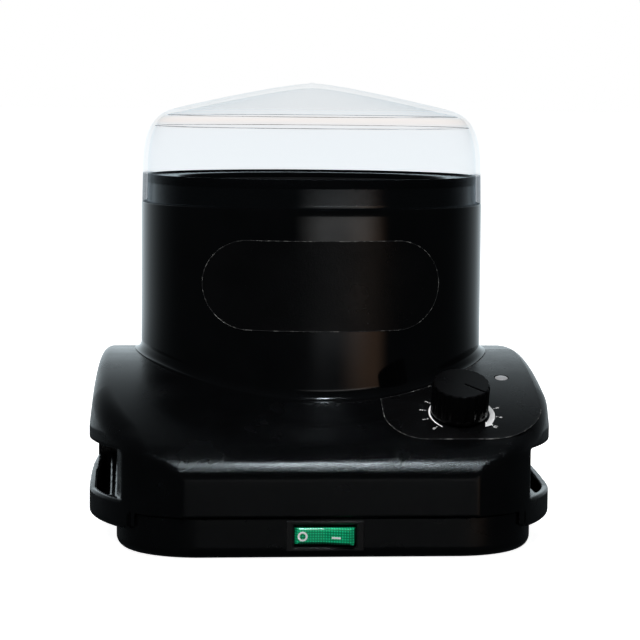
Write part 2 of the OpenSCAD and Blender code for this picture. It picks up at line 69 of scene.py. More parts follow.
def rmin(a, b, r):
    return -rmax(-a, -b, r)


def cubic(p, n):
    t = np.linspace(0, 1, n)[:, None]
    p = np.array(p, float)
    return (1 - t) ** 3 * p[0] + 3 * t * (1 - t) ** 2 * p[1] + 3 * t * t * (1 - t) * p[2] + t ** 3 * p[3]


OUTLINE = np.concatenate([
    [[0.0, -100.0]],
    cubic([(55.6, -100), (57.2, -100), (58.0, -99.6), (59.4, -98.9)], 5),
    cubic([(67.5, -95.1), (76.5, -90.6), (91.5, -69.5), (93, -48)], 30),
    cubic([(93, -48), (93.2, -10), (89, 40), (85, 70)], 20)[1:],
    cubic([(85, 70), (81.4, 96), (76, 103), (56, 103)], 24)[1:],
    [[0.0, 103.0]],
])


def outline_distance(ax, y):
    """Distance from the housing's outline seen from above, below zero inside. The outline is convex."""
    d = None
    for p, q in zip(OUTLINE[:-1], OUTLINE[1:]):
        t = (q - p) / np.hypot(*(q - p))
        e = (ax - p[0]) * t[1] - (y - p[1]) * t[0]
        d = e if d is None else np.maximum(d, e)
    return d


def box_distance(x, y, z, lo, hi, r=0.0):
    c = [(a + b) / 2 for a, b in zip(lo, hi)]
    h = [(b - a) / 2 - r for a, b in zip(lo, hi)]
    q = [np.abs(v - cc) - hh for v, cc, hh in zip((x, y, z), c, h)]
    out = np.sqrt(sum(np.maximum(k, 0) ** 2 for k in q))
    return out + np.minimum(np.maximum(np.maximum(q[0], q[1]), q[2]), 0) - r


def smooth(t):
    t = np.clip(t, 0, 1)
    return t * t * (3 - 2 * t)


def front_distance(y, z):
    """Distance from the front's profile: upright face, a soft roll, then a slightly crowned bevel."""
    a, b = math.radians(33), math.radians(48)
    y1, z1 = -93.0, 30.9
    y2, z2 = y1 + 29 * math.cos(a), z1 - 29 * math.sin(a)
    t1 = np.arctan2(z - z1, y1 - y)
    t2 = np.arctan2(z - z2, y2 - y)
    top = (z - z2) * math.sin(b) - (y - y2) * math.cos(b) - 36
    d = np.where((y < y2) & (t2 < b), np.hypot(y - y2, z - z2) - 36, top)
    d = np.where((y < y1) & (t1 < a), np.hypot(y - y1, z - z1) - 7, d)
    return np.where(z < z1, -100 - y, d)


def housing_outer(x, y, z):
    ax = np.abs(x)
    side = outline_distance(ax, y) + 0.115 * np.maximum(z - 46, 0)
    arch = np.sqrt((y - AY) ** 2 + (z - AZ) ** 2) - ARCH_R
    # the flank's edge is round, and sharpens towards the front
    r = 1.4 + (1.6 + 4.2 * smooth((AY - y) / 70)) * smooth((y + 97) / 20)
    a = rmax(side, arch, r)
    a = rmax(a, front_distance(y, z), 0.05 + 1.2 * smooth((z - 33.5) / 3))
    rear = ((y - 103) * 14 + (z - 42) * 10) / 17.2
    return rmax(a, rear, 4.0)


def housing_distance(x, y, z):
    ax = np.abs(x)
    dp = outline_distance(ax, y)
    a = housing_outer(x, y, z)
    body = rmax(a, 16.6 - z, 0.15)
    # side lips, wrapped round the tray
    lip = np.maximum(np.maximum(rmax(dp, 9.4 - z, 2.8), -rounded_plan(x, y, 82.25, -99.7, 102.25, 32.2)), np.maximum(z - 18, np.abs(y + 3) - 86))
    body = np.minimum(body, lip)
    grip_x = GRIP_X - 1.5 + 1.3 * np.clip((y + 80) / 9, 0, 1)
    grip_z = GRIP_Z0 + 0.075 * np.clip(y + 52, 0, 44)
    grip = rmax(rmax(np.maximum(grip_x - ax, y - GRIP_END), grip_z - z, 0.8), z - GRIP_Z1, 0.8)
    body = rmax(body, -grip, 0.9)
    pocket = np.maximum(np.maximum(84.8 - ax, dp + 2.9), np.maximum(np.maximum(13.0 - z, z - 26), y - 16.5))
    body = rmax(body, -pocket, 0.7)
    # hollow inside
    hollow = np.maximum(a + 2.6, 16.0 - z)
    keep = np.maximum(np.maximum(GRIP_X - 2.6 - ax, y - GRIP_END - 2.6), np.maximum(GRIP_Z0 - 4.4 - z, z - GRIP_Z1 - 2.6))
    hollow = np.maximum(hollow, -keep)
    body = np.maximum(body, -hollow)
    # pad behind the inlet, its pocket and opening
    body = np.minimum(body, box_distance(x, y, z, (INLET[0] - 27, 96, 18), (INLET[0] + 27, 101, 43)))
    body = rmax(body, -box_distance(x, y, z, (INLET[0] - 25.5, 100, INLET[1] - 12), (INLET[0] + 25.5, 110, INLET[1] + 12), 0.6), 0.6)
    body = np.maximum(body, -box_distance(x, y, z, (INLET[0] - 14, 90, INLET[1] - 10.2), (INLET[0] + 14, 110, INLET[1] + 10.2)))
    for s in (-20, 20):
        body = np.maximum(body, np.where(np.abs(y - 98) < 20, 1.5 - np.hypot(x - INLET[0] - s, z - INLET[1]), -9))
    for i in range(7):
        body = rmax(body, -box_distance(x, y, z, (12 + i * 6, 95, 22), (15 + i * 6, 110, 38), 1.2), 0.5)
    # tower, dial and lamp
    body = np.maximum(body, 72.2 - np.hypot(x, y - AY))
    body = np.maximum(body, np.where(z > 30, 5.2 - np.hypot(x - DIAL[0], y - DIAL[1]), -9))
    return np.maximum(body, np.where(z > 30, 2.7 - np.hypot(x - LAMP[0], y - LAMP[1]), -9))


def rounded_plan(x, y, hw, y0, y1, r):
    qx = np.abs(x) - hw + r
    qy = np.abs(y - (y0 + y1) / 2) - (y1 - y0) / 2 + r
    return np.hypot(np.maximum(qx, 0), np.maximum(qy, 0)) + np.minimum(np.maximum(qx, qy), 0) - r


def tray_distance(x, y, z):
    d = rounded_plan(x, y, 82, -99.5, 102, 32)
    body = rmax(rmax(d, 0.6 - z, 4.6), z - SEAM - 0.1, 0.12)
    body = np.maximum(body, -np.maximum(rounded_plan(x, y, 79.5, -97, 99.5, 29.5), 3.5 - z))
    for bx, by in BOSSES:
        r = np.hypot(x - bx, y - by)
        body = np.minimum(body, np.maximum(np.maximum(r - 4.4, z - 14.1), 3 - z))
    for bx, by in FEET:
        body = np.minimum(body, np.maximum(np.maximum(np.hypot(x - bx, y - by) - 8, z - 5), 2 - z))
        body = rmax(body, -np.maximum(np.hypot(x - bx, y - by) - 6, z - 3), 0.3)
    for bx, by in BOSSES:
        r = np.hypot(x - bx, y - by)
        body = np.maximum(body, 1.7 - r)
        body = rmax(body, -np.maximum(r - 3.2, z - 4), 0.3)
    for a in (90, 210, 330):
        bx, by = 50 * math.cos(math.radians(a)), AY + 50 * math.sin(math.radians(a))
        r = np.hypot(x - bx, y - by)
        body = np.minimum(body, np.maximum(np.maximum(r - 6, z - 5), 2 - z))
        body = np.maximum(body, 2.1 - r)
        body = rmax(body, -np.maximum(r - 4.2, z - 3.2), 0.3)
    body = np.maximum(body, -box_distance(x, y, z, (SWITCH[0] - 13.9, -102, SWITCH[1] - 4.9), (SWITCH[0] + 13.9, -94, SWITCH[1] + 4.9)))
    for i in range(-4, 5):
        for y0, y1 in ((26, 50), (-42, -22)):
            body = rmax(body, -box_distance(x, y, z, (i * 7 - 1.3, y0, -2), (i * 7 + 1.3, y1, 9), 1.1), 0.4)
    return body


# ------------------------------------------------------------------ meshes from distances
def gradient(f, p, e=0.02):
    g = np.empty_like(p)
    for k in range(3):
        a, b = p.copy(), p.copy()
        a[:, k] += e
        b[:, k] -= e
        g[:, k] = (f(*a.T) - f(*b.T)) / (2 * e)
    return g


def to_surface(f, p, times=4, most=0.6):
    for _ in range(times):
        g = gradient(f, p)
        n2 = np.maximum((g ** 2).sum(1), 0.2)
        step = -(f(*p.T) / n2)[:, None] * g
        size = np.maximum(np.sqrt((step ** 2).sum(1)), 1e-9)
        p = p + step * np.minimum(1, most / size)[:, None]
    return p


def surface_net(f, lo, hi, h):
    """Quads on the surface where f is zero, on a grid of pitch h."""
    n = [int(math.ceil((b - a) / h)) + 1 for a, b in zip(lo, hi)]
    ax = [np.float64(a) + h * np.arange(m) for a, m in zip(lo, n)]
    v = np.ascontiguousarray(np.broadcast_to(
        f(ax[0][:, None, None], ax[1][None, :, None], ax[2][None, None, :]), n)).astype(np.float32)
    v = np.where(v == 0, np.float32(1e-6), v)
    s = v < 0
    cell = [m - 1 for m in n]
    total = np.zeros(cell + [3], np.float32)
    count = np.zeros(cell, np.float32)
    crossings = []
    for k in range(3):
        a = [slice(None)] * 3
        b = [slice(None)] * 3
        a[k], b[k] = slice(0, -1), slice(1, None)
        va, vb = v[tuple(a)], v[tuple(b)]
        cross = s[tuple(a)] != s[tuple(b)]
        t = np.where(cross, va / np.where(cross, va - vb, 1), 0)
        crossings.append((cross, s[tuple(a)]))
        i, j = [m for m in range(3) if m != k]
        for di in (0, 1):
            for dj in (0, 1):
                w = [slice(None)] * 3
                w[i] = slice(di, di + cell[i])
                w[j] = slice(dj, dj + cell[j])
                c = cross[tuple(w)]
                count += c
                total[..., k] += np.where(c, t[tuple(w)], 0)
                if di:
                    total[..., i] += c
                if dj:
                    total[..., j] += c
    used = count > 0
    index = np.full(cell, -1, np.int64)
    index[used] = np.arange(used.sum())
    where = np.argwhere(used).astype(np.float32)
    points = np.array(lo) + h * (where + total[used] / count[used][:, None])
    faces = []
    for k in range(3):
        cross, first = crossings[k]
        i, j = [m for m in range(3) if m != k]
        w = [slice(None)] * 3
        w[i], w[j] = slice(1, cell[i]), slice(1, cell[j])
        c = cross[tuple(w)]
        inside = first[tuple(w)][c]
        at = np.argwhere(c)
        at[:, i] += 1
        at[:, j] += 1
        quad = []
        for di, dj in ((-1, -1), (0, -1), (0, 0), (-1, 0)):
            q = at.copy()
            q[:, i] += di
            q[:, j] += dj
            quad.append(index[q[:, 0], q[:, 1], q[:, 2]])
        quad = np.stack(quad, 1)
        flip = inside if k != 1 else ~inside
        quad[~flip] = quad[~flip][:, ::-1]
        faces.append(quad)
    return points, np.concatenate(faces)


def mesh_object(name, points, faces, normals=None):
    m = bpy.data.meshes.new(name)
    faces = np.asarray(faces)
    m.vertices.add(len(points))
    m.vertices.foreach_set("co", (np.asarray(points, np.float64) * MM).astype(np.float32).ravel())
    k = faces.shape[1]
    m.loops.add(faces.size)
    m.loops.foreach_set("vertex_index", faces.astype(np.int32).ravel())
    m.polygons.add(len(faces))
    m.polygons.foreach_set("loop_start", np.arange(0, faces.size, k, dtype=np.int32))
    m.update(calc_edges=True)
    m.validate()
    m.polygons.foreach_set("use_smooth", np.ones(len(m.polygons), bool))
    if normals is not None:
        m.normals_split_custom_set_from_vertices([tuple(v) for v in normals])
    o = bpy.data.objects.new(name, m)
    scene.collection.objects.link(o)
    return o


def solid(name, f, lo, hi, h, triangles=None, most=0.6):
    """A closed mesh of the shape f, with normals taken from f itself."""
    p, q = surface_net(f, lo, hi, h)
    p = to_surface(f, p, 3, most)
    o = mesh_object(name, p, q)
    if triangles and 2 * len(q) > triangles:
        d = o.modifiers.new("thin", "DECIMATE")
        d.ratio = triangles / (2 * len(q))
        d.use_collapse_triangulate = True
        baked = bpy.data.meshes.new_from_object(o.evaluated_get(bpy.context.evaluated_depsgraph_get()))
        o.modifiers.clear()
        old = o.data
        o.data = baked
        bpy.data.meshes.remove(old)
        co = np.empty(len(baked.vertices) * 3, np.float32)
        baked.vertices.foreach_get("co", co)
        p = co.reshape(-1, 3).astype(float) / MM
        p = to_surface(f, p, 2, 0.2)
        baked.vertices.foreach_set("co", (p * MM).astype(np.float32).ravel())
        baked.name = name
        baked.update()
    m = o.data
    m.polygons.foreach_set("use_smooth", np.ones(len(m.polygons), bool))
    g = gradient(f, p, 0.05)
    g /= np.maximum(np.sqrt((g ** 2).sum(1)), 1e-9)[:, None]
    m.normals_split_custom_set_from_vertices([tuple(v) for v in g])
    return o


def lathe(name, profile, segments=192, centre=(0.0, AY), height=None, closed=True, a0=0.0):
    """A profile of (radius, z) points turned about a vertical axis. height(angle, i, r, z) may lift a point."""
    profile = np.array(profile, float)
    n = len(profile)
    ang = np.linspace(0, 2 * math.pi, segments, endpoint=False) + a0
    pts = []
    for i, (r, z) in enumerate(profile):
        zz = np.full(segments, z) if height is None else height(ang, i, r, z)
        pts.append(np.stack([centre[0] + r * np.cos(ang), centre[1] + r * np.sin(ang), zz], 1))
    pts = np.concatenate(pts)
    s = np.arange(segments)
    t = (s + 1) % segments
    faces = []
    for i in range(n if closed else n - 1):
        j = (i + 1) % n
        faces.append(np.stack([i * segments + s, i * segments + t, j * segments + t, j * segments + s], 1))
    o = mesh_object(name, pts, np.concatenate(faces))
    bm = bmesh.new()
    bm.from_mesh(o.data)
    bmesh.ops.remove_doubles(bm, verts=bm.verts, dist=1e-7)
    bmesh.ops.recalc_face_normals(bm, faces=bm.faces)
    bm.to_mesh(o.data)
    bm.free()
    return o


def arc(cx, cz, r, a0, a1, n=6):
    """Points of an arc, angles in degrees."""
    return [(cx + r * math.cos(math.radians(a0 + (a1 - a0) * i / n)), cz + r * math.sin(math.radians(a0 + (a1 - a0) * i / n))) for i in range(n + 1)]


def sharpen(o, degrees=35):
    """Keeps true edges crisp and the rest smooth."""
    m = o.data
    bm = bmesh.new()
    bm.from_mesh(m)
    for e in bm.edges:
        e.smooth = not (len(e.link_faces) == 2 and e.calc_face_angle(0) > math.radians(degrees))
    bm.to_mesh(m)
    bm.free()
    m.polygons.foreach_set("use_smooth", np.ones(len(m.polygons), bool))
    return o


# ------------------------------------------------------------------ materials
def material(name, color, rough, **more):
    """A moulded plastic, metal or rubber: mottled colour and roughness, and a fine grain, all from noise."""
    m = bpy.data.materials.new(name)
    m.use_nodes = True
    t = m.node_tree
    p = t.nodes["Principled BSDF"]
    p.inputs["Base Color"].default_value = (*color, 1)
    p.inputs["Roughness"].default_value = rough
    p.inputs["Metallic"].default_value = more.get("metal", 0.0)
    p.inputs["IOR"].default_value = more.get("ior", 1.5)
    p.inputs["Specular IOR Level"].default_value = more.get("spec", 0.5)
    p.inputs["Coat Weight"].default_value = more.get("coat", 0.0)
    p.inputs["Coat Roughness"].default_value = more.get("coat_rough", 0.1)
    at = t.nodes.new("ShaderNodeTexCoord")
    where = at.outputs["Object"]
    if more.get("stretch"):
        mp = t.nodes.new("ShaderNodeMapping")
        mp.inputs["Scale"].default_value = more["stretch"]
        t.links.new(where, mp.inputs["Vector"])
        where = mp.outputs["Vector"]
    # grain: fine pits of the mould's texture
    if more.get("grain", 0):
        n = t.nodes.new("ShaderNodeTexNoise")
        n.inputs["Scale"].default_value = more.get("grain_scale", 2200)
        n.inputs["Detail"].default_value = 2.0
        n.inputs["Roughness"].default_value = 0.6
        t.links.new(where, n.inputs["Vector"])
        b = t.nodes.new("ShaderNodeBump")
        b.inputs["Strength"].default_value = more["grain"]
        b.inputs["Distance"].default_value = more.get("grain_depth", 0.0001)
        t.links.new(n.outputs["Fac"], b.inputs["Height"])
        t.links.new(b.outputs["Normal"], p.inputs["Normal"])
    # handling marks: slow changes of roughness
    n = t.nodes.new("ShaderNodeTexNoise")
    n.inputs["Scale"].default_value = more.get("mark_scale", 60)
    n.inputs["Detail"].default_value = 5.0
    t.links.new(where, n.inputs["Vector"])
    r = t.nodes.new("ShaderNodeMapRange")
    r.inputs["From Min"].default_value = 0.3
    r.inputs["From Max"].default_value = 0.7
    spread = more.get("spread", 0.05)
    r.inputs["To Min"].default_value = max(0.02, rough - spread)
    r.inputs["To Max"].default_value = rough + spread
    t.links.new(n.outputs["Fac"], r.inputs["Value"])
    t.links.new(r.outputs["Result"], p.inputs["Roughness"])
    # colour a little uneven
    ramp = t.nodes.new("ShaderNodeValToRGB")
    k = more.get("uneven", 0.2)
    ramp.color_ramp.elements[0].position = 0.35
    ramp.color_ramp.elements[1].position = 0.65
    ramp.color_ramp.elements[0].color = (*[c * (1 - k) for c in color], 1)
    ramp.color_ramp.elements[1].color = (*[min(1, c * (1 + k)) for c in color], 1)
    t.links.new(n.outputs["Fac"], ramp.inputs["Fac"])
    t.links.new(ramp.outputs["Color"], p.inputs["Base Color"])
    return m


BLACK = (0.0012, 0.0013, 0.0015)
M = {
    "housing": material("satin_black", BLACK, 0.24, grain=0.35, grain_scale=2600, grain_depth=0.00006, spec=0.5),
    "tray": material("tray_black", BLACK, 0.28, grain=0.3, grain_scale=2600, grain_depth=0.00005),
    "tower": material("tower_black", BLACK, 0.1, grain=0.05, grain_scale=2400, grain_depth=0.00002, spread=0.02),
    "rim": material("rim_black", BLACK, 0.22, grain=0.05, grain_scale=1500, spread=0.03, spec=0.05),
    "label": material("label_film", (0.002, 0.002, 0.0022), 0.3, grain=0.8, grain_scale=1500, grain_depth=0.00008),
    "print": material("white_print", (0.82, 0.82, 0.82), 0.5, grain=0.1, uneven=0.04),
    "knob": material("knob_black", (0.0022, 0.0021, 0.0023), 0.3, spec=0.3, grain=0.3, grain_scale=2600, grain_depth=0.00005),
    "bezel": material("bezel_black", (0.007, 0.007, 0.0072), 0.4, grain=0.4, grain_scale=2800, grain_depth=0.00005),
    "lamp": material("lamp_lens", (0.3, 0.3, 0.31), 0.35, coat=0.3, uneven=0.08),
    "rubber": material("foot_rubber", (0.018, 0.018, 0.018), 0.75, grain=0.6, grain_scale=1800),
    "well": material("well_coating", (0.006, 0.006, 0.0065), 0.5, grain=0.2),
    "zinc": material("zinc_plate", (0.56, 0.57, 0.6), 0.28, metal=1.0, uneven=0.08, mark_scale=300, grain=0.15),
    "sheet": material("sheet_steel", (0.5, 0.5, 0.51), 0.35, metal=1.0, uneven=0.08, grain=0.15, stretch=(1, 12, 1)),
    "sheath": material("heater_sheath", (0.35, 0.29, 0.22), 0.4, metal=1.0, uneven=0.25, mark_scale=90),
    "fibre": material("mineral_fibre", (0.7, 0.66, 0.54), 0.9, grain=1.0, grain_scale=900, grain_depth=0.0004, stretch=(1, 1, 6)),
    "ceramic": material("ceramic_white", (0.72, 0.69, 0.6), 0.6, grain=0.3),
    "block": material("block_white", (0.72, 0.72, 0.68), 0.35, grain=0.15, uneven=0.05),
    "nickel": material("nickel_plate", (0.65, 0.63, 0.58), 0.2, metal=1.0, uneven=0.06, mark_scale=300),
    "copper": material("copper_tube", (0.7, 0.35, 0.2), 0.3, metal=1.0, uneven=0.15, mark_scale=200),
    "brown": material("wire_brown", (0.12, 0.05, 0.025), 0.45, grain=0.1),
    "red": material("wire_red", (0.4, 0.02, 0.015), 0.45, grain=0.1),
    "blue": material("wire_blue", (0.03, 0.09, 0.42), 0.45, grain=0.1),
    "green_wire": material("wire_green", (0.1, 0.3, 0.03), 0.45, grain=0.1),
}


def clear_plastic():
    """Clear moulded wall: what is behind shows through a faint tint, with painted shade where the wall is seen edge on
    and a painted reflection at the shoulder, and the wall mirrors at a glancing angle.
    """
    m = bpy.data.materials.new("clear_plastic")
    m.use_nodes = True
    t = m.node_tree
    new, link = t.nodes.new, t.links.new
    out = next(n for n in t.nodes if n.type == "OUTPUT_MATERIAL")
    p = t.nodes["Principled BSDF"]
    p.inputs["Base Color"].default_value = (0.9, 0.93, 0.95, 1)
    p.inputs["Metallic"].default_value = 1.0
    p.inputs["Roughness"].default_value = 0.03
    at = new("ShaderNodeTexCoord")
    sep = new("ShaderNodeSeparateXYZ")
    link(at.outputs["Object"], sep.inputs["Vector"])
    # tint by height: clear skirt, a painted grey band and a painted warm reflection at the shoulder, clear roof
    height = new("ShaderNodeMapRange")
    height.inputs["From Min"].default_value = 0.133
    height.inputs["From Max"].default_value = 0.183
    link(sep.outputs["Z"], height.inputs["Value"])
    ramp = new("ShaderNodeValToRGB")
    e = ramp.color_ramp.elements
    e[0].position, e[0].color = 0.0, (0.972, 0.984, 0.992, 1)
    e[1].position, e[1].color = 1.0, (0.985, 0.990, 0.994, 1)
    for pos, col in ((0.6, (0.974, 0.984, 0.992)), (0.655, (0.968, 0.972, 0.975)), (0.68, (0.990, 0.972, 0.963)), (0.71, (0.992, 0.980, 0.972)), (0.73, (0.975, 0.983, 0.989))):
        k = e.new(pos)
        k.color = (*col, 1)
    link(height.outputs["Result"], ramp.inputs["Fac"])
    # painted shade: darker where the wall is seen edge on, standing in for the lid's dark outline
    lw = new("ShaderNodeLayerWeight")
    lw.inputs["Blend"].default_value = 0.5
    edge = new("ShaderNodeMapRange")
    edge.interpolation_type = "SMOOTHSTEP"
    edge.inputs["From Min"].default_value = 0.955
    edge.inputs["From Max"].default_value = 1.0
    edge.inputs["To Max"].default_value = 0.85
    link(lw.outputs["Facing"], edge.inputs["Value"])
    # the painted edge shade is weaker on the skirt than on the roof
    roof = new("ShaderNodeMapRange")
    roof.inputs["From Min"].default_value = 0.150
    roof.inputs["From Max"].default_value = 0.172
    roof.inputs["To Min"].default_value = 0.12
    link(sep.outputs["Z"], roof.inputs["Value"])
    mul = new("ShaderNodeMath")
    mul.operation = "MULTIPLY"
    link(edge.outputs["Result"], mul.inputs[0])
    link(roof.outputs["Result"], mul.inputs[1])
    dark = new("ShaderNodeMix")
    dark.data_type = "RGBA"
    link(mul.outputs[0], dark.inputs["Factor"])
    link(ramp.outputs["Color"], dark.inputs["A"])
    dark.inputs["B"].default_value = (0.42, 0.41, 0.42, 1)
    # painted shade: the lower skirt is a little darker where it is seen edge on
    low = new("ShaderNodeMapRange")
    low.interpolation_type = "SMOOTHSTEP"
    low.inputs["From Min"].default_value = 0.1456
    low.inputs["From Max"].default_value = 0.1446
    link(sep.outputs["Z"], low.inputs["Value"])
    side = new("ShaderNodeMapRange")
    side.interpolation_type = "SMOOTHSTEP"
    side.inputs["From Min"].default_value = 0.70
    side.inputs["From Max"].default_value = 0.80
    link(lw.outputs["Facing"], side.inputs["Value"])
    both = new("ShaderNodeMath")
    both.operation = "MULTIPLY"
    link(low.outputs["Result"], both.inputs[0])
    link(side.outputs["Result"], both.inputs[1])
    bent = new("ShaderNodeMix")
    bent.data_type = "RGBA"
    link(both.outputs[0], bent.inputs["Factor"])
    link(dark.outputs["Result"], bent.inputs["A"])
    bent.inputs["B"].default_value = (0.46, 0.48, 0.50, 1)
    see = new("ShaderNodeBsdfTransparent")
    link(bent.outputs["Result"], see.inputs["Color"])
    # faint waves of the moulding
    n = new("ShaderNodeTexNoise")
    n.inputs["Scale"].default_value = 26
    n.inputs["Detail"].default_value = 2.0
    link(at.outputs["Object"], n.inputs["Vector"])
    b = new("ShaderNodeBump")
    b.inputs["Strength"].default_value = 0.12
    b.inputs["Distance"].default_value = 0.001
    link(n.outputs["Fac"], b.inputs["Height"])
    link(b.outputs["Normal"], p.inputs["Normal"])
    # how much it mirrors: the same from inside the wall as from outside
    f = new("ShaderNodeMath")
    f.operation = "POWER"
    f.inputs[1].default_value = 8.0
    link(lw.outputs["Facing"], f.inputs[0])
    g = new("ShaderNodeMath")
    g.operation = "MULTIPLY_ADD"
    g.inputs[1].default_value = 0.35
    g.inputs[2].default_value = 0.02
    link(f.outputs[0], g.inputs[0])
    mix = new("ShaderNodeMixShader")
    link(g.outputs[0], mix.inputs["Fac"])
    link(see.outputs["BSDF"], mix.inputs[1])
    link(p.outputs["BSDF"], mix.inputs[2])
    link(mix.outputs["Shader"], out.inputs["Surface"])
    return m


def green_lens():
    m = bpy.data.materials.new("green_lens")
    m.use_nodes = True
    t = m.node_tree
    p = t.nodes["Principled BSDF"]
    p.inputs["Roughness"].default_value = 0.26
    p.inputs["IOR"].default_value = 1.5
    p.inputs["Coat Weight"].default_value = 0.6
    p.inputs["Coat Roughness"].default_value = 0.28
    at = t.nodes.new("ShaderNodeTexCoord")
    # the moulded grid of the diffuser behind the face
    waves = []
    for axis in ("X", "Z"):
        w = t.nodes.new("ShaderNodeTexWave")
        w.wave_type = "BANDS"
        w.bands_direction = axis
        w.wave_profile = "SIN"
        w.inputs["Scale"].default_value = 310
        w.inputs["Distortion"].default_value = 0.0
        t.links.new(at.outputs["Object"], w.inputs["Vector"])
        waves.append(w)
    mul = t.nodes.new("ShaderNodeMath")
    mul.operation = "MULTIPLY"
    t.links.new(waves[0].outputs["Fac"], mul.inputs[0])
    t.links.new(waves[1].outputs["Fac"], mul.inputs[1])
    n = t.nodes.new("ShaderNodeTexNoise")
    n.inputs["Scale"].default_value = 260
    t.links.new(at.outputs["Object"], n.inputs["Vector"])
    add = t.nodes.new("ShaderNodeMath")
    add.operation = "MULTIPLY_ADD"
    add.inputs[1].default_value = 0.45
    t.links.new(n.outputs["Fac"], add.inputs[0])
    t.links.new(mul.outputs[0], add.inputs[2])
    ramp = t.nodes.new("ShaderNodeValToRGB")
    e = ramp.color_ramp.elements
    e[0].position, e[0].color = 0.15, (0.0, 0.15, 0.055, 1)
    e[1].position, e[1].color = 1.0, (0.015, 0.66, 0.30, 1)
    t.links.new(add.outputs[0], ramp.inputs["Fac"])
    t.links.new(ramp.outputs["Color"], p.inputs["Base Color"])
    return m


def worn_edge():
    """The cut edge of a film: mostly dark, with bright flecks painted on as the glints the edge catches."""
    m = material("film_edge", (0.03, 0.031, 0.033), 0.4, grain=0.2)
    t = m.node_tree
    p = t.nodes["Principled BSDF"]
    n = t.nodes.new("ShaderNodeTexNoise")
    n.inputs["Scale"].default_value = 420
    n.inputs["Detail"].default_value = 3.0
    at = t.nodes.new("ShaderNodeTexCoord")
    t.links.new(at.outputs["Object"], n.inputs["Vector"])
    # painted highlight: grey flecks where the cut edge would catch light
    r = t.nodes.new("ShaderNodeValToRGB")
    r.color_ramp.elements[0].position = 0.5
    r.color_ramp.elements[0].color = (0.018, 0.018, 0.019, 1)
    r.color_ramp.elements[1].position = 0.72
    r.color_ramp.elements[1].color = (0.26, 0.26, 0.25, 1)
    t.links.new(n.outputs["Fac"], r.inputs["Fac"])
    t.links.new(r.outputs["Color"], p.inputs["Base Color"])
    return m


M["edge"] = worn_edge()
def ring_line():
    """A moulded line in clear plastic, painted as a fine grey thread: painted shade for the line the ridge shows."""
    m = bpy.data.materials.new("clear_line")
    m.use_nodes = True
    t = m.node_tree
    out = next(n for n in t.nodes if n.type == "OUTPUT_MATERIAL")
    p = t.nodes["Principled BSDF"]
    p.inputs["Base Color"].default_value = (0.5, 0.47, 0.46, 1)
    p.inputs["Roughness"].default_value = 0.3
    at = t.nodes.new("ShaderNodeTexCoord")
    n = t.nodes.new("ShaderNodeTexNoise")
    n.inputs["Scale"].default_value = 35
    t.links.new(at.outputs["Object"], n.inputs["Vector"])
    r = t.nodes.new("ShaderNodeValToRGB")
    r.color_ramp.elements[0].position, r.color_ramp.elements[0].color = 0.35, (0.86, 0.86, 0.87, 1)
    r.color_ramp.elements[1].position, r.color_ramp.elements[1].color = 0.65, (0.48, 0.46, 0.46, 1)
    t.links.new(n.outputs["Fac"], r.inputs["Fac"])
    see = t.nodes.new("ShaderNodeBsdfTransparent")
    t.links.new(r.outputs["Color"], see.inputs["Color"])
    mix = t.nodes.new("ShaderNodeMixShader")
    mix.inputs["Fac"].default_value = 0.05
    t.links.new(see.outputs["BSDF"], mix.inputs[1])
    t.links.new(p.outputs["BSDF"], mix.inputs[2])
    t.links.new(mix.outputs["Shader"], out.inputs["Surface"])
    return m


M["ring"] = ring_line()
M["clear"] = clear_plastic()
M["lens"] = green_lens()


def dress(o, mat, body, replaces=()):
    o.data.materials.clear()
    o.data.materials.append(M[mat])
    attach(o, body)
    if replaces:
        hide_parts(*replaces)
    return o


# ------------------------------------------------------------------ housing and tray
housing = solid("housing_shell", housing_distance, (-95, -102, 8.2), (95, 105, 73), 0.9, 190000)
dress(housing, "housing", "base", ["upper_housing"])

tray = solid("tray_shell", tray_distance, (-84, -101, -0.6), (84, 104, 18), 0.7, 150000)
dress(tray, "tray", "base", ["lower_tray"])

# ------------------------------------------------------------------ tower
foot_n = 8


def tower_height(ang, i, r, z):
    """The first rings follow the deck; the rest are level."""
    deck = deck_z(AY + r * np.sin(ang))
    if i <= foot_n:
        return deck + z
    return np.full(len(ang), z)


flare = [(74.7, -0.3), (74.6, 0.35)] + [(72.0 + 2.6 * (1 - math.sin(math.radians(a))), 0.35 + 2.9 * (1 - math.cos(math.radians(a)))) for a in (15, 30, 45, 60, 75, 90)]
flare = flare[:foot_n] + [(72.0, 4.2)]
levels = [(72.0, z) for z in (78, 90, 105, 120, 130)]
tower_profile = flare + levels + arc(71.5, STEP_Z - 0.5, 0.5, 0, 90, 5) + [(69.7, STEP_Z)] + \
    [(69.3, STEP_Z + 0.4), (69.3, RIM_Z - 2.3)] + [(66.9, RIM_Z - 2.3), (66.9, STEP_Z - 3), (69.4, STEP_Z - 5), (69.4, 60), (69.4, 44)]
n_out = len(tower_profile)
tower = lathe("tower_case", tower_profile + [(72.0, 44.0)], 256, height=tower_height)
sharpen(tower, 28)
dress(tower, "tower", "base", ["tower_shell"])

rim = lathe("rim_cap", [(57.0, RIM_Z - 2.2), (69.3, RIM_Z - 2.2)] + arc(68.5, RIM_Z - 0.8, 0.8, 0, 90, 5) +
            arc(57.9, RIM_Z - 0.9, 0.9, 90, 180, 6), 256)
sharpen(rim, 32)
dress(rim, "rim", "base", ["rim_ring"])

well = lathe("well_pot", [(0.0, 37.4), (54.5, 37.4), (57.6, 40.5), (57.6, 140.6), (66.7, 140.6), (66.7, 141.55), (57.0, 141.55), (56.5, 141.4), (56.0, 140.9),
                          (56.0, 44.0)] + arc(52.5, 42.9, 3.5, 0, -90, 6) + [(30.0, 39.4), (0.0, 39.4)], 192, closed=False)
sharpen(well, 32)
dress(well, "well", "base", ["heating_well"])

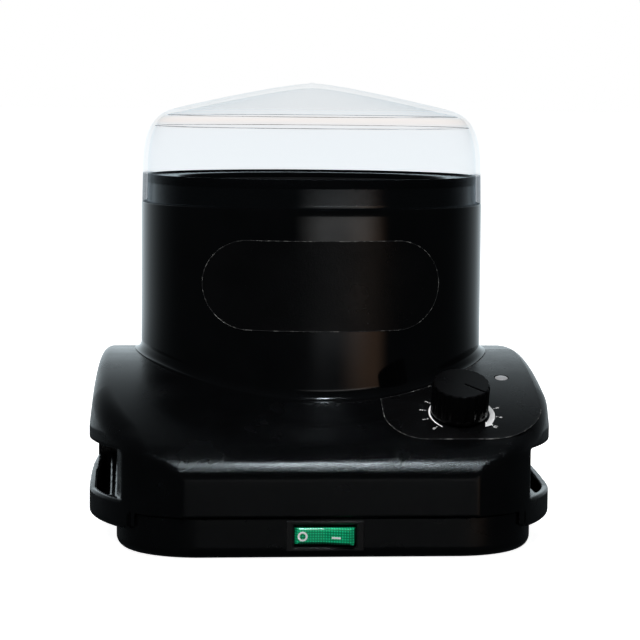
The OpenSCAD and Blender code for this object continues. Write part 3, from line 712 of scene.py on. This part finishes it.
# ------------------------------------------------------------------ thin films bent onto a surface
def film(name, outline, axis, step, bend, lift, under=0.01, holes=()):
    """A thin plate: a flat outline cut into strips along one axis, thickened, then bent by bend(u, v, lift) -> point, normal."""
    bm = bmesh.new()
    bm.faces.new([bm.verts.new((u, v, 0)) for u, v in outline])
    lo, hi = min(p[axis] for p in outline), max(p[axis] for p in outline)
    k = lo + step * 0.61
    while k < hi:
        geom = bm.verts[:] + bm.edges[:] + bm.faces[:]
        bmesh.ops.bisect_plane(bm, geom=geom, plane_co=(k, k, 0), plane_no=(1, 0, 0) if axis == 0 else (0, 1, 0))
        k += step
    for f in bm.faces:
        f.normal_update()
        if f.normal.z < 0:
            f.normal_flip()
    ext = bmesh.ops.extrude_face_region(bm, geom=bm.faces[:])
    top = set(g for g in ext["geom"] if isinstance(g, bmesh.types.BMVert))
    bmesh.ops.recalc_face_normals(bm, faces=bm.faces)
    flat = bpy.data.meshes.new(name)
    for v in bm.verts:
        v.co.z = 1.0 if v in top else 0.0
    bm.to_mesh(flat)
    bm.free()
    o = bpy.data.objects.new(name, flat)
    scene.collection.objects.link(o)
    for (cx, cy), r in holes:
        bpy.ops.mesh.primitive_cylinder_add(vertices=64, radius=r, depth=6, location=(cx, cy, 0))
        c = bpy.context.object
        b = o.modifiers.new("hole", "BOOLEAN")
        b.object = c
        b.operation = "DIFFERENCE"
        b.solver = "EXACT"
        baked = bpy.data.meshes.new_from_object(o.evaluated_get(bpy.context.evaluated_depsgraph_get()))
        o.modifiers.clear()
        old = o.data
        o.data = baked
        bpy.data.meshes.remove(old)
        bpy.data.objects.remove(c)
    m = o.data
    m.name = name
    side = [abs(p.normal.z) < 0.5 for p in m.polygons]
    above = [p.normal.z > 0 for p in m.polygons]
    normal = []
    for v in m.vertices:
        p, n = bend(v.co.x, v.co.y, lift if v.co.z > 0.5 else under)
        v.co = p * MM
        normal.append(n)
    m.update()
    loops = [None] * len(m.loops)
    for i, p in enumerate(m.polygons):
        p.use_smooth = True
        for l in p.loop_indices:
            if side[i]:
                loops[l] = tuple(p.normal)
            else:
                n = normal[m.loops[l].vertex_index]
                loops[l] = tuple(n if above[i] else -n)
    m.normals_split_custom_set(loops)
    return o


def band(name, outer, inner_line, bend, lift):
    """A closed strip between two loops of equal length, as the cut edge of a film that catches light."""
    n = len(outer)
    pts, faces = [], []
    for ring, l in ((outer, 0.02), (outer, lift), (inner_line, lift + 0.012), (inner_line, lift - 0.06)):
        pts += [tuple(bend(u, v, l)[0]) for u, v in ring]
    for i in range(4):
        j = (i + 1) % 4
        for k in range(n):
            faces.append((i * n + k, i * n + (k + 1) % n, j * n + (k + 1) % n, j * n + k))
    o = mesh_object(name, pts, faces)
    bm = bmesh.new()
    bm.from_mesh(o.data)
    bmesh.ops.recalc_face_normals(bm, faces=bm.faces)
    bm.to_mesh(o.data)
    bm.free()
    return o


def on_tower(x, z, lift):
    r = TOWER_R + lift
    y = -math.sqrt(r * r - x * x)
    return Vector((x, AY + y, z)), Vector((x / r, y / r, 0))


def stadium(inset, n=160):
    rr = 18 - inset
    total = 120 + 2 * math.pi * rr
    out = []
    for k in range(n):
        s = total * k / n
        if s < 60:
            out.append((-30 + s, 102.5 - rr))
        elif s < 60 + math.pi * rr:
            a = -math.pi / 2 + (s - 60) / rr
            out.append((30 + rr * math.cos(a), 102.5 + rr * math.sin(a)))
        elif s < 120 + math.pi * rr:
            out.append((90 + math.pi * rr - s, 102.5 + rr))
        else:
            a = math.pi / 2 + (s - 120 - math.pi * rr) / rr
            out.append((-30 + rr * math.cos(a), 102.5 + rr * math.sin(a)))
    return out


plate = film("tower_film", stadium(0.0), 0, 2.0, on_tower, 0.17)
dress(plate, "label", "base", ["tower_label"])
line = band("tower_film_edge", stadium(-0.05), stadium(0.2), on_tower, 0.18)
dress(line, "edge", "base", [])

# ------------------------------------------------------------------ lid
lid_out = [(0.0, 0.0), (2.0, 0.03), (4.0, 0.2), (9.0, 0.85), (14.7, 1.7), (23.8, 3.4), (32.4, 5.1), (40.8, 6.9), (47.9, 8.5), (55.3, 10.2), (59.5, 11.4),
           (62.9, 12.8), (66.0, 15.2), (68.4, 18.8), (70.3, 24.1), (71.2, 30.2), (71.5, 36.0), (71.6, 40.0), (71.8, 49.7)]
lid_in = [(69.8, 49.7), (69.6, 40.0), (69.5, 36.0), (69.2, 30.2), (68.3, 24.2), (66.9, 19.6), (65.3, 16.3), (63.6, 14.4), (61.0, 13.4), (55.3, 12.2), (47.9, 10.5),
          (40.8, 8.9), (32.4, 7.1), (23.8, 5.4), (14.7, 3.7), (4.0, 2.2), (0.0, 2.0)]


def fair(points, n):
    """The same profile with more points, on a smooth curve through them."""
    p = np.array(points, float)
    t = np.concatenate([[0], np.cumsum(np.hypot(*np.diff(p, axis=0).T))])
    out = []
    m = np.gradient(p, t, axis=0)
    for u in np.linspace(0, t[-1], n):
        i = min(np.searchsorted(t, u, side="right") - 1, len(t) - 2)
        h = t[i + 1] - t[i]
        s = (u - t[i]) / h
        out.append(tuple((2 * s ** 3 - 3 * s ** 2 + 1) * p[i] + (s ** 3 - 2 * s ** 2 + s) * h * m[i]
                         + (-2 * s ** 3 + 3 * s ** 2) * p[i + 1] + (s ** 3 - s ** 2) * h * m[i + 1]))
    return out


lid_profile = [(max(r, 0.0), LID_Z - d) for r, d in fair(lid_out, 70)]
lid_profile[0] = (0.0, lid_profile[0][1])
lid_profile += [(71.75, STEP_Z + 0.02), (71.5, STEP_Z), (70.1, STEP_Z), (69.85, STEP_Z + 0.05)]
inner = [(max(r, 0.0), LID_Z - d) for r, d in fair(lid_in, 60)][1:]
inner[-1] = (0.0, inner[-1][1])
lid = lathe("lid_dome", lid_profile + inner, 256, closed=False)
sharpen(lid, 40)
dress(lid, "clear", "lid", ["lid"])

# thin black lip of the collar, just inside the lid's wall
lip = lathe("collar_lip", [(68.9, 141.0), (69.4, 141.0), (69.4, 144.6), (69.3, 144.75), (69.1, 144.75), (69.0, 144.6)], 192)
sharpen(lip, 40)
dress(lip, "rim", "base", [])

for i, (r, z) in enumerate(((61.3, 169.45), (66.35, 164.9))):
    ring = lathe("lid_ring_%d" % (i + 1), [(r + 0.16 * math.cos(math.radians(k)), z + 0.16 * math.sin(math.radians(k))) for k in range(0, 360, 60)], 192)
    dress(ring, "ring", "lid", [])
gate = lathe("lid_gate_mark", [(0.0, LID_Z + 0.55), (0.7, LID_Z + 0.55), (1.05, LID_Z + 0.35), (1.2, LID_Z + 0.05), (1.3, LID_Z - 0.1), (0.0, LID_Z - 0.1)], 32, closed=False)
sharpen(gate, 50)
dress(gate, "clear", "lid", [])


# ------------------------------------------------------------------ local frame on the deck
def deck_frame(x, y):
    s = math.asin(-(y - AY) / ARCH_R)
    rot = Matrix.Rotation(s, 4, "X")
    return Matrix.Translation(Vector((x, y, float(deck_z(y)))) * MM) @ rot


def place(o, mat):
    o.data.transform(mat)
    return o


# ------------------------------------------------------------------ knob
def knob_distance(x, y, z):
    r = np.hypot(x, y)
    d = rmax(r - 11.4, z - 14.0, 0.7)
    d = rmax(d, 1.0 - z, 0.3)
    a = np.arctan2(y, x)
    step = math.radians(20)
    a = (a + step / 2) % step - step / 2
    flute = np.hypot(r * np.cos(a) - 12.3, r * np.sin(a)) - 1.4
    flute = np.maximum(flute, 2.4 - z)
    d = rmax(d, -flute, 0.35)
    # index line across the top, out to the top edge
    u = x * math.cos(math.radians(-40)) + y * math.sin(math.radians(-40))
    v = -x * math.sin(math.radians(-40)) + y * math.cos(math.radians(-40))
    groove = np.maximum(np.maximum(np.abs(v) - 0.45, 13.45 - z), 1.5 - u)
    d = rmax(d, -groove, 0.15)
    inside = np.maximum(r - 9.8, z - 3.5)
    inside = np.maximum(inside, 5.6 - r)
    d = np.maximum(d, -inside)
    return np.maximum(d, 3.02 - r - np.where(z < 9, 0, 9))


knob = solid("knob_cap", knob_distance, (-12.2, -12.2, 0.4), (12.2, 12.2, 14.8), 0.26, 60000, 0.15)
place(knob, deck_frame(*DIAL))
dress(knob, "knob", "knob", ["dial_knob"])


# ------------------------------------------------------------------ control film on the deck
def control_outline(inset=0.0, n=10):
    """Outline in x and y: two round front corners, a rear edge across the deck and the tower's circle."""
    pts = []
    r = 16 - inset
    for i in range(n + 1):
        a = math.radians(180 + 90 * i / n)
        pts.append((39 + r * math.cos(a), -70.5 + r * math.sin(a)))
    r = 23 - inset
    for i in range(n + 1):
        a = math.radians(270 + 90 * i / n)
        pts.append((64 + r * math.cos(a), -63.5 + r * math.sin(a)))
    for y in (-45, -30, -15):
        pts.append((87 - inset + (y + 63.5) * -0.012, y))
    r = 4.0
    for i in range(5):
        a = math.radians(90 * i / 4)
        pts.append((82 - inset + r * math.cos(a), 0.5 - inset + r * math.sin(a)))
    rt = TOWER_R + 2.9 + inset
    a0 = math.atan2(4.5 - inset - AY, math.sqrt(rt ** 2 - (4.5 - inset - AY) ** 2))
    x_left = 23 + inset
    a1 = -math.acos(x_left / rt)
    for i in range(29):
        a = a0 + (a1 - a0) * i / 28
        pts.append((rt * math.cos(a), AY + rt * math.sin(a)))
    y0 = AY + rt * math.sin(a1)
    for t in (0.35, 0.7):
        pts.append((x_left, y0 + (-70.5 - y0) * t))
    return pts


def on_arch(x, y, lift):
    z = float(deck_z(y))
    n = Vector((0, (y - AY) / ARCH_R, (z - AZ) / ARCH_R))
    return Vector((x, y, z)) + n * lift, n


panel = film("control_film", control_outline(0.0), 1, 2.0, on_arch, 0.2, 0.01, [(DIAL, 5.2), (LAMP, 3.0)])
dress(panel, "label", "base", ["control_label"])
edge = band("control_film_edge", control_outline(-0.05), control_outline(0.2), on_arch, 0.21)
dress(edge, "edge", "base", [])


# printed scale: a tapering arc with an arrow head, marks and plain numbers, bent onto the deck
def dial_to_deck(x, y, lift):
    """A point of the dial's plane on the arch."""
    s = math.asin(-(DIAL[1] - AY) / ARCH_R)
    wy = DIAL[1] + y * math.cos(s)
    z = float(deck_z(wy))
    return Vector((DIAL[0] + x, wy + lift * (wy - AY) / ARCH_R, z + lift * (z - AZ) / ARCH_R)) * MM


def arc_width(t):
    """Width of the printed arc, thin at the low end and thick at the high end."""
    return 0.45 + 1.85 * t ** 1.15


polys = []
N = 90
for i in range(N):
    quad = []
    for t, side in ((i / N, -1), (i / N, 1), ((i + 1) / N, 1), ((i + 1) / N, -1)):
        a = math.radians(228 - 262 * t)
        r = 12.5 + side * arc_width(t) / 2
        quad.append((0.6 + r * math.cos(a), -0.6 + r * math.sin(a)))
    polys.append(quad)
# arrow head at the high end
a = math.radians(-34)
u, t = Vector((math.cos(a), math.sin(a))), Vector((math.sin(a), -math.cos(a)))
centre = Vector((0.6, -0.6))
polys.append([tuple(centre + u * 10.9), tuple(centre + u * 14.3), tuple(centre + u * 12.4 + t * 3.0)])


def welded_print(name, polys, lift, thick):
    bm = bmesh.new()
    for poly in polys:
        bm.faces.new([bm.verts.new((x, y, 0)) for x, y in poly])
    bmesh.ops.remove_doubles(bm, verts=bm.verts, dist=1e-4)
    bmesh.ops.recalc_face_normals(bm, faces=bm.faces)
    ext = bmesh.ops.extrude_face_region(bm, geom=bm.faces[:])
    top = set(g for g in ext["geom"] if isinstance(g, bmesh.types.BMVert))
    for v in bm.verts:
        v.co = dial_to_deck(v.co.x, v.co.y, lift + (thick if v in top else 0))
    bmesh.ops.recalc_face_normals(bm, faces=bm.faces)
    m = bpy.data.meshes.new(name)
    bm.to_mesh(m)
    bm.free()
    o = bpy.data.objects.new(name, m)
    scene.collection.objects.link(o)
    return o


dial_arc = welded_print("dial_arc", polys, 0.205, 0.03)
dress(dial_arc, "print", "base", [])


def number(text, angle, r, size):
    """Number printed beside the arc, upright towards the rear of the label."""
    c = bpy.data.curves.new("number", "FONT")
    c.body = text
    c.size = size
    c.align_x = "CENTER"
    c.align_y = "CENTER"
    c.resolution_u = 4
    o = bpy.data.objects.new("number", c)
    scene.collection.objects.link(o)
    bpy.context.view_layer.update()
    m = bpy.data.meshes.new_from_object(o.evaluated_get(bpy.context.evaluated_depsgraph_get()))
    bpy.data.objects.remove(o)
    a = math.radians(angle)
    turn = a - math.pi / 2
    ca, sa = math.cos(turn), math.sin(turn)
    flat = []
    for v in m.vertices:
        flat.append((0.6 + r * math.cos(a) + v.co.x * ca - v.co.y * sa, -0.6 + r * math.sin(a) + v.co.x * sa + v.co.y * ca))
    polys = [[flat[i] for i in p.vertices] for p in m.polygons]
    bpy.data.meshes.remove(m)
    return polys


figures = []
for k in range(11):
    at = 221.5 - 25.75 * k
    if k in (0, 1, 2, 3, 7, 8, 9, 10):
        a = math.radians(at)
        u, t = Vector((math.cos(a), math.sin(a))), Vector((-math.sin(a), math.cos(a)))
        c = Vector((0.6, -0.6))
        figures.append([tuple(c + u * 13.9 + t * 0.14), tuple(c + u * 13.9 - t * 0.14), tuple(c + u * 14.5 - t * 0.14), tuple(c + u * 14.5 + t * 0.14)])
    figures += number(str(k), at, 15.6, 2.0)
numbers = welded_print("dial_numbers", figures, 0.205, 0.03)
dress(numbers, "print", "base", [])

# ------------------------------------------------------------------ pilot lamp
lamp = lathe("pilot_lens", [(0.0, 0.5), (0.9, 0.46), (1.8, 0.34), (2.4, 0.16), (2.62, 0.0), (2.62, -13.5), (0.0, -13.5)], 48, centre=(0.0, 0.0), closed=False)
sharpen(lamp, 40)
place(lamp, deck_frame(*LAMP))
dress(lamp, "lamp", "base", ["pilot_lamp"])


# ------------------------------------------------------------------ rocker switch
def bezel_distance(x, y, z):
    """Around the middle of the switch: x across, z up, y to the rear in the part's own frame."""
    d = box_distance(x, y, z, (-15, -100.2, -5.9), (15, -98.95, 5.9), 0.45)
    d = np.minimum(d, box_distance(x, y, z, (-13.7, -99.5, -4.8), (13.7, -78, 4.8), 0.2))
    d = rmax(d, -box_distance(x, y, z, (-12.1, -110, -4.3), (12.1, -92.1, 4.3), 0.25), 0.35)
    # a shallow step inside the frame
    d = rmax(d, -box_distance(x, y, z, (-12.6, -110, -4.8), (12.6, -99.75, 4.8), 0.2), 0.12)
    return d


bezel = solid("switch_frame", bezel_distance, (-15.6, -100.8, -6.5), (15.6, -77.4, 6.5), 0.3, 50000, 0.15)
bezel.data.transform(Matrix.Translation(Vector((SWITCH[0], 0, SWITCH[1])) * MM))
dress(bezel, "bezel", "base", ["switch_body"])


def rocker_distance(x, y, z):
    """About the pivot. The front is a shallow V, with the two ends proud of its middle."""
    k = math.tan(math.radians(8))
    front = (-y - 2.3 - np.abs(x) * k) * math.cos(math.radians(8))
    d = rmax(np.hypot(x, y) - 11.7, front, 0.25)
    d = rmax(d, y - 3.2, 0.3)
    d = rmax(d, np.abs(z) - 3.2, 0.25)
    # slanted rim round the face
    d = rmax(d, (np.abs(z) - 2.35) * 0.62 + front * 0.78, 0.12)
    return rmax(d, (np.abs(x) - 9.7) * 0.6 + front * 0.8, 0.12)


rocker = solid("rocker_lens", rocker_distance, (-12.2, -5.2, -4.7), (12.2, 3.8, 4.7), 0.22, 40000, 0.1)
pivot = Vector((SWITCH[0], -97.7, SWITCH[1])) * MM
turn = Matrix.Translation(pivot) @ Matrix.Rotation(math.radians(-8), 4, "Z")
rocker.data.transform(turn)
dress(rocker, "lens", "rocker", ["rocker"])


def marks():
    """White ring and bar on the two halves of the rocker's face."""
    pts, faces = [], []
    k = math.tan(math.radians(8))

    def add(ring_out, ring_in):
        n = len(ring_out)
        base = len(pts)
        for ring, lift in ((ring_out, 0.0), (ring_out, 0.05), (ring_in, 0.05), (ring_in, 0.0)):
            for x, z in ring:
                pts.append((x, -2.3 - abs(x) * k - lift, z))
        for i in range(4):
            j = (i + 1) % 4
            for a in range(n):
                b = (a + 1) % n
                faces.append((base + i * n + a, base + i * n + b, base + j * n + b, base + j * n + a))

    ring = [(math.cos(2 * math.pi * i / 48), math.sin(2 * math.pi * i / 48)) for i in range(48)]
    add([(-8.3 + 1.9 * a, 1.9 * b - 0.1) for a, b in ring], [(-8.3 + 1.15 * a, 1.15 * b - 0.1) for a, b in ring])
    bar = [(-1.75, -0.38), (1.75, -0.38), (1.75, 0.38), (-1.75, 0.38)]
    add([(4.6 + a, b - 0.5) for a, b in bar], [(4.6 + a * 0.02, b * 0.02 - 0.5) for a, b in bar])
    o = mesh_object("rocker_marks", pts, faces)
    bm = bmesh.new()
    bm.from_mesh(o.data)
    bmesh.ops.recalc_face_normals(bm, faces=bm.faces)
    bm.to_mesh(o.data)
    bm.free()
    o.data.polygons.foreach_set("use_smooth", np.zeros(len(o.data.polygons), bool))
    return o


m = marks()
m.data.transform(turn)
dress(m, "print", "rocker", [])


# ------------------------------------------------------------------ mains inlet
def inlet_distance(x, y, z):
    """About the middle of the inlet, y from the rear face of the base."""
    d = box_distance(x, y, z, (-25, -3, -11.5), (25, -0.4, 11.5), 0.5)
    d = np.minimum(d, box_distance(x, y, z, (-13.7, -25, -10), (13.7, -2, 10), 0.3))
    # D shaped mouth: two corners cut
    mouth = box_distance(x, y, z, (-12, -17, -8), (12, 5, 8), 0.3)
    mouth = np.maximum(mouth, (np.abs(x) + z - 16.5) / math.sqrt(2))
    d = rmax(d, -mouth, 0.35)
    for s in (-20, 20):
        r = np.hypot(x - s, z)
        d = np.maximum(d, 1.7 - r)
        d = rmax(d, -np.maximum(r - 3.2, -1.4 - y), 0.2)
    for s, c in ((-7, -3.5), (0, 2.5), (7, -3.5)):
        d = np.maximum(d, -box_distance(x, y, z, (s - 1, -30, c - 2), (s + 1, -16, c + 2)))
    return d


inlet = solid("inlet_frame", inlet_distance, (-25.6, -25.6, -12.1), (25.6, 0.4, 12.1), 0.4, 50000, 0.2)
inlet.data.transform(Matrix.Translation(Vector((INLET[0], 103, INLET[1])) * MM))
dress(inlet, "bezel", "base", ["inlet_socket"])

# ------------------------------------------------------------------ feet
feet = []
for fx, fy in FEET:
    f = lathe("foot", [(0.0, 0.0), (4.9, 0.0)] + arc(4.9, 1.0, 1.0, -90, 0, 5) + [(5.9, 3.0), (0.0, 3.0)], 48, centre=(fx, fy), closed=False)
    sharpen(f, 40)
    feet.append(f)
bm = bmesh.new()
for f in feet:
    bm.from_mesh(f.data)
m = bpy.data.meshes.new("feet_pads")
bm.to_mesh(m)
bm.free()
for f in feet:
    bpy.data.objects.remove(f)
feet = bpy.data.objects.new("feet_pads", m)
scene.collection.objects.link(feet)
sharpen(feet, 40)
dress(feet, "rubber", "base", ["rubber_feet"])

# ------------------------------------------------------------------ CAD pieces that stay
STAY = {
    "zinc": ["tray_screws", "tower_screws", "well_nut", "clamp_screw", "shield_standoffs", "shield_screws", "thermostat_nut",
             "thermostat_spindle", "inlet_screws", "terminal_screws", "earth_screw"],
    "sheet": ["heater_clamp", "heat_shield", "earth_tag"],
    "sheath": ["heater_band"],
    "fibre": ["insulation_sleeve"],
    "ceramic": ["ceramic_spacer", "thermal_fuse", "thermostat_body"],
    "copper": ["thermostat_bulb"],
    "bezel": ["pilot_clip"],
    "nickel": ["inlet_pins"],
    "block": ["terminal_block"],
    "brown": ["mains_wires"],
    "red": ["heater_wires"],
    "blue": ["lamp_wires"],
    "green_wire": ["earth_wire"],
}
for mat, names in STAY.items():
    for n in names:
        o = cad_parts[n]
        o.data.materials.clear()
        o.data.materials.append(M[mat])

# ------------------------------------------------------------------ floor, light and camera
def stage_floor():
    bpy.ops.mesh.primitive_plane_add(size=60, location=(0, 0, 0))
    o = bpy.context.object
    o.name = "studio_floor"
    m = bpy.data.materials.new("pale_floor")
    m.use_nodes = True
    p = m.node_tree.nodes["Principled BSDF"]
    p.inputs["Base Color"].default_value = (0.9, 0.9, 0.9, 1)
    p.inputs["Roughness"].default_value = 0.9
    p.inputs["Specular IOR Level"].default_value = 0.0
    p.inputs["Emission Color"].default_value = (1, 1, 1, 1)
    p.inputs["Emission Strength"].default_value = 0.96
    o.data.materials.append(m)
    o.visible_glossy = False
    o.visible_diffuse = False
    return o


floor = stage_floor()


def area(name, at, to, size, power, color=(1, 1, 1), glossy=True):
    l = bpy.data.lights.new(name, "AREA")
    l.shape = "RECTANGLE"
    l.size, l.size_y = size
    l.energy = power
    l.color = color
    o = bpy.data.objects.new(name, l)
    scene.collection.objects.link(o)
    o.location = at
    o.rotation_euler = (Vector(to) - Vector(at)).to_track_quat("-Z", "Y").to_euler()
    o.visible_glossy = glossy
    return o


# overhead box that the front bevel mirrors
top = area("top_box", (0.07, -0.43, 0.86), (0.0, -0.098, 0.04), (0.42, 0.09), 0.0148, (0.80, 0.93, 1.0))
top.data.spread = math.radians(6)
core = area("top_core", (0.085, -0.43, 0.86), (0.012, -0.098, 0.04), (0.05, 0.09), 0.0009, (0.84, 0.94, 1.0))
core.data.spread = math.radians(3.5)
# soft fill that no surface mirrors
area("fill", (-0.3, -1.0, 1.6), (0, 0, 0.05), (1.2, 1.2), 44, (1, 1, 1), False)

# white cyclorama behind, dark room in front with a faint window and a warm wall
world = bpy.data.worlds.new("studio")
scene.world = world
world.use_nodes = True
wt = world.node_tree
wnew, wlink = wt.nodes.new, wt.links.new
bg = wt.nodes["Background"]


def op(kind, a, b=None, c=None, clamp=False):
    n = wnew("ShaderNodeMath")
    n.operation = kind
    n.use_clamp = clamp
    for i, v in enumerate((a, b, c)):
        if v is None:
            continue
        if isinstance(v, (int, float)):
            n.inputs[i].default_value = v
        else:
            wlink(v, n.inputs[i])
    return n.outputs[0]


def step(value, lo, hi):
    n = wnew("ShaderNodeMapRange")
    n.interpolation_type = "SMOOTHSTEP"
    n.inputs["From Min"].default_value = lo
    n.inputs["From Max"].default_value = hi
    wlink(value, n.inputs["Value"])
    return n.outputs["Result"]


tc = wnew("ShaderNodeTexCoord")
sx = wnew("ShaderNodeSeparateXYZ")
wlink(tc.outputs["Generated"], sx.inputs["Vector"])
X, Y, Z = sx.outputs
flat = op("SQRT", op("ADD", op("MULTIPLY", X, X), op("MULTIPLY", Y, Y)))
flat = op("MAXIMUM", flat, 0.001)


def profile(value, top, points):
    """A curve of strength over an angle, through points of (angle, strength)."""
    n = wnew("ShaderNodeValToRGB")
    n.color_ramp.interpolation = "B_SPLINE"
    e = n.color_ramp.elements
    lo = points[0][0]
    e[0].position, e[1].position = 0.0, 1.0
    e[0].color = (points[0][1],) * 3 + (1,)
    e[1].color = (points[-1][1],) * 3 + (1,)
    for x, v in points[1:-1]:
        k = e.new((x - lo) / (top - lo))
        k.color = (v,) * 3 + (1,)
    r = wnew("ShaderNodeMapRange")
    r.inputs["From Min"].default_value = lo
    r.inputs["From Max"].default_value = top
    wlink(value, r.inputs["Value"])
    wlink(r.outputs["Result"], n.inputs["Fac"])
    return n.outputs["Color"]


turn_az = op("MULTIPLY", op("ARCTAN2", X, op("MULTIPLY", Y, -1.0)), 180 / math.pi)     # 0 in front, towards +X
back_az = op("MULTIPLY", op("ABSOLUTE", op("ARCTAN2", X, Y)), 180 / math.pi)           # 0 straight behind
el = op("MULTIPLY", op("ARCTAN2", Z, flat), 180 / math.pi)
back = op("MULTIPLY", profile(back_az, 90, [(0, 1.0), (10, 0.95), (20, 0.7), (30, 0.46), (37, 0.31), (48, 0.14), (58, 0.05), (72, 0.0), (90, 0.0)]),
          profile(el, 90, [(-20, 0.0), (-9, 0.0), (-7.3, 0.0), (-6.3, 0.35), (-5.2, 0.97), (0, 1.0), (12, 1.0), (22, 0.75), (32, 0.48), (45, 0.28), (56, 0.18), (66, 0.0), (90, 0.0)]))
front_low = op("MULTIPLY", step(el, -16, -10), op("SUBTRACT", 1.0, step(el, -4, -2)))
front_mid = op("MULTIPLY", step(el, -7.9, -7.0), op("SUBTRACT", 1.0, step(el, -4, -2)))
window = op("MULTIPLY", op("MULTIPLY", step(turn_az, -34, -12), op("SUBTRACT", 1.0, step(turn_az, 20, 40))), front_low)
warm = op("MULTIPLY", op("MULTIPLY", step(turn_az, 12, 34), op("SUBTRACT", 1.0, step(turn_az, 38, 50))), front_mid)
strip = op("MULTIPLY", op("MULTIPLY", step(turn_az, -8, 6), op("SUBTRACT", 1.0, step(turn_az, 24, 38))),
           op("MULTIPLY", step(el, -6.6, -4.8), op("SUBTRACT", 1.0, step(el, -4, -2))))
patch = op("MULTIPLY", op("MULTIPLY", step(turn_az, -16, 3), op("SUBTRACT", 1.0, step(turn_az, 30, 46))),
           op("MULTIPLY", step(el, -3.5, -3.1), op("SUBTRACT", 1.0, step(el, -2.9, -2.4))))


def tint(amount, color, strength):
    n = wnew("ShaderNodeVectorMath")
    n.operation = "SCALE"
    n.inputs[0].default_value = [c * strength for c in color]
    wlink(amount, n.inputs["Scale"])
    return n.outputs["Vector"]


def add(a, b):
    n = wnew("ShaderNodeVectorMath")
    n.operation = "ADD"
    wlink(a, n.inputs[0])
    wlink(b, n.inputs[1])
    return n.outputs["Vector"]


room = add(add(tint(back, (0.82, 0.94, 1.0), 1.15), tint(window, (0.9, 1.0, 1.05), 0.008)),
           add(tint(warm, (1.0, 0.6, 0.38), 0.55), tint(patch, (1.0, 1.0, 0.98), 2.3)))
room = add(room, tint(strip, (0.95, 1.0, 1.05), 0.42))
base = wnew("ShaderNodeVectorMath")
base.operation = "ADD"
wlink(room, base.inputs[0])
base.inputs[1].default_value = (0.018, 0.021, 0.023)
lp = wnew("ShaderNodeLightPath")
pick = wnew("ShaderNodeMix")
pick.data_type = "RGBA"
wlink(lp.outputs["Is Camera Ray"], pick.inputs["Factor"])
wlink(base.outputs["Vector"], pick.inputs["A"])
pick.inputs["B"].default_value = (1, 1, 1, 1)
wlink(pick.outputs["Result"], bg.inputs["Color"])
bg.inputs["Strength"].default_value = 1.0

cam_data = bpy.data.cameras.new("camera")
cam_data.sensor_width = 36
cam_data.lens = 135
cam_data.clip_end = 100
cam = bpy.data.objects.new("camera", cam_data)
scene.collection.objects.link(cam)
a, dist, high = math.radians(-4.3), 1.021, 0.1775
pitch, pan, roll = math.radians(5.31), math.atan(9.5 / 2400), math.radians(0.48)
fw = Vector((-math.sin(a) * math.cos(pitch), math.cos(a) * math.cos(pitch), -math.sin(pitch)))
rt = Vector((math.cos(a), math.sin(a), 0))
fw, rt = fw * math.cos(pan) + rt * math.sin(pan), rt * math.cos(pan) - fw * math.sin(pan)
up = rt.cross(fw)
rt, up = rt * math.cos(roll) + up * math.sin(roll), up * math.cos(roll) - rt * math.sin(roll)
cam.matrix_world = Matrix((
    (rt.x, up.x, -fw.x, math.sin(a) * dist),
    (rt.y, up.y, -fw.y, -math.cos(a) * dist + AY * MM),
    (rt.z, up.z, -fw.z, high),
    (0, 0, 0, 1)))
scene.camera = cam

scene.view_settings.view_transform = "Standard"
scene.view_settings.look = "None"
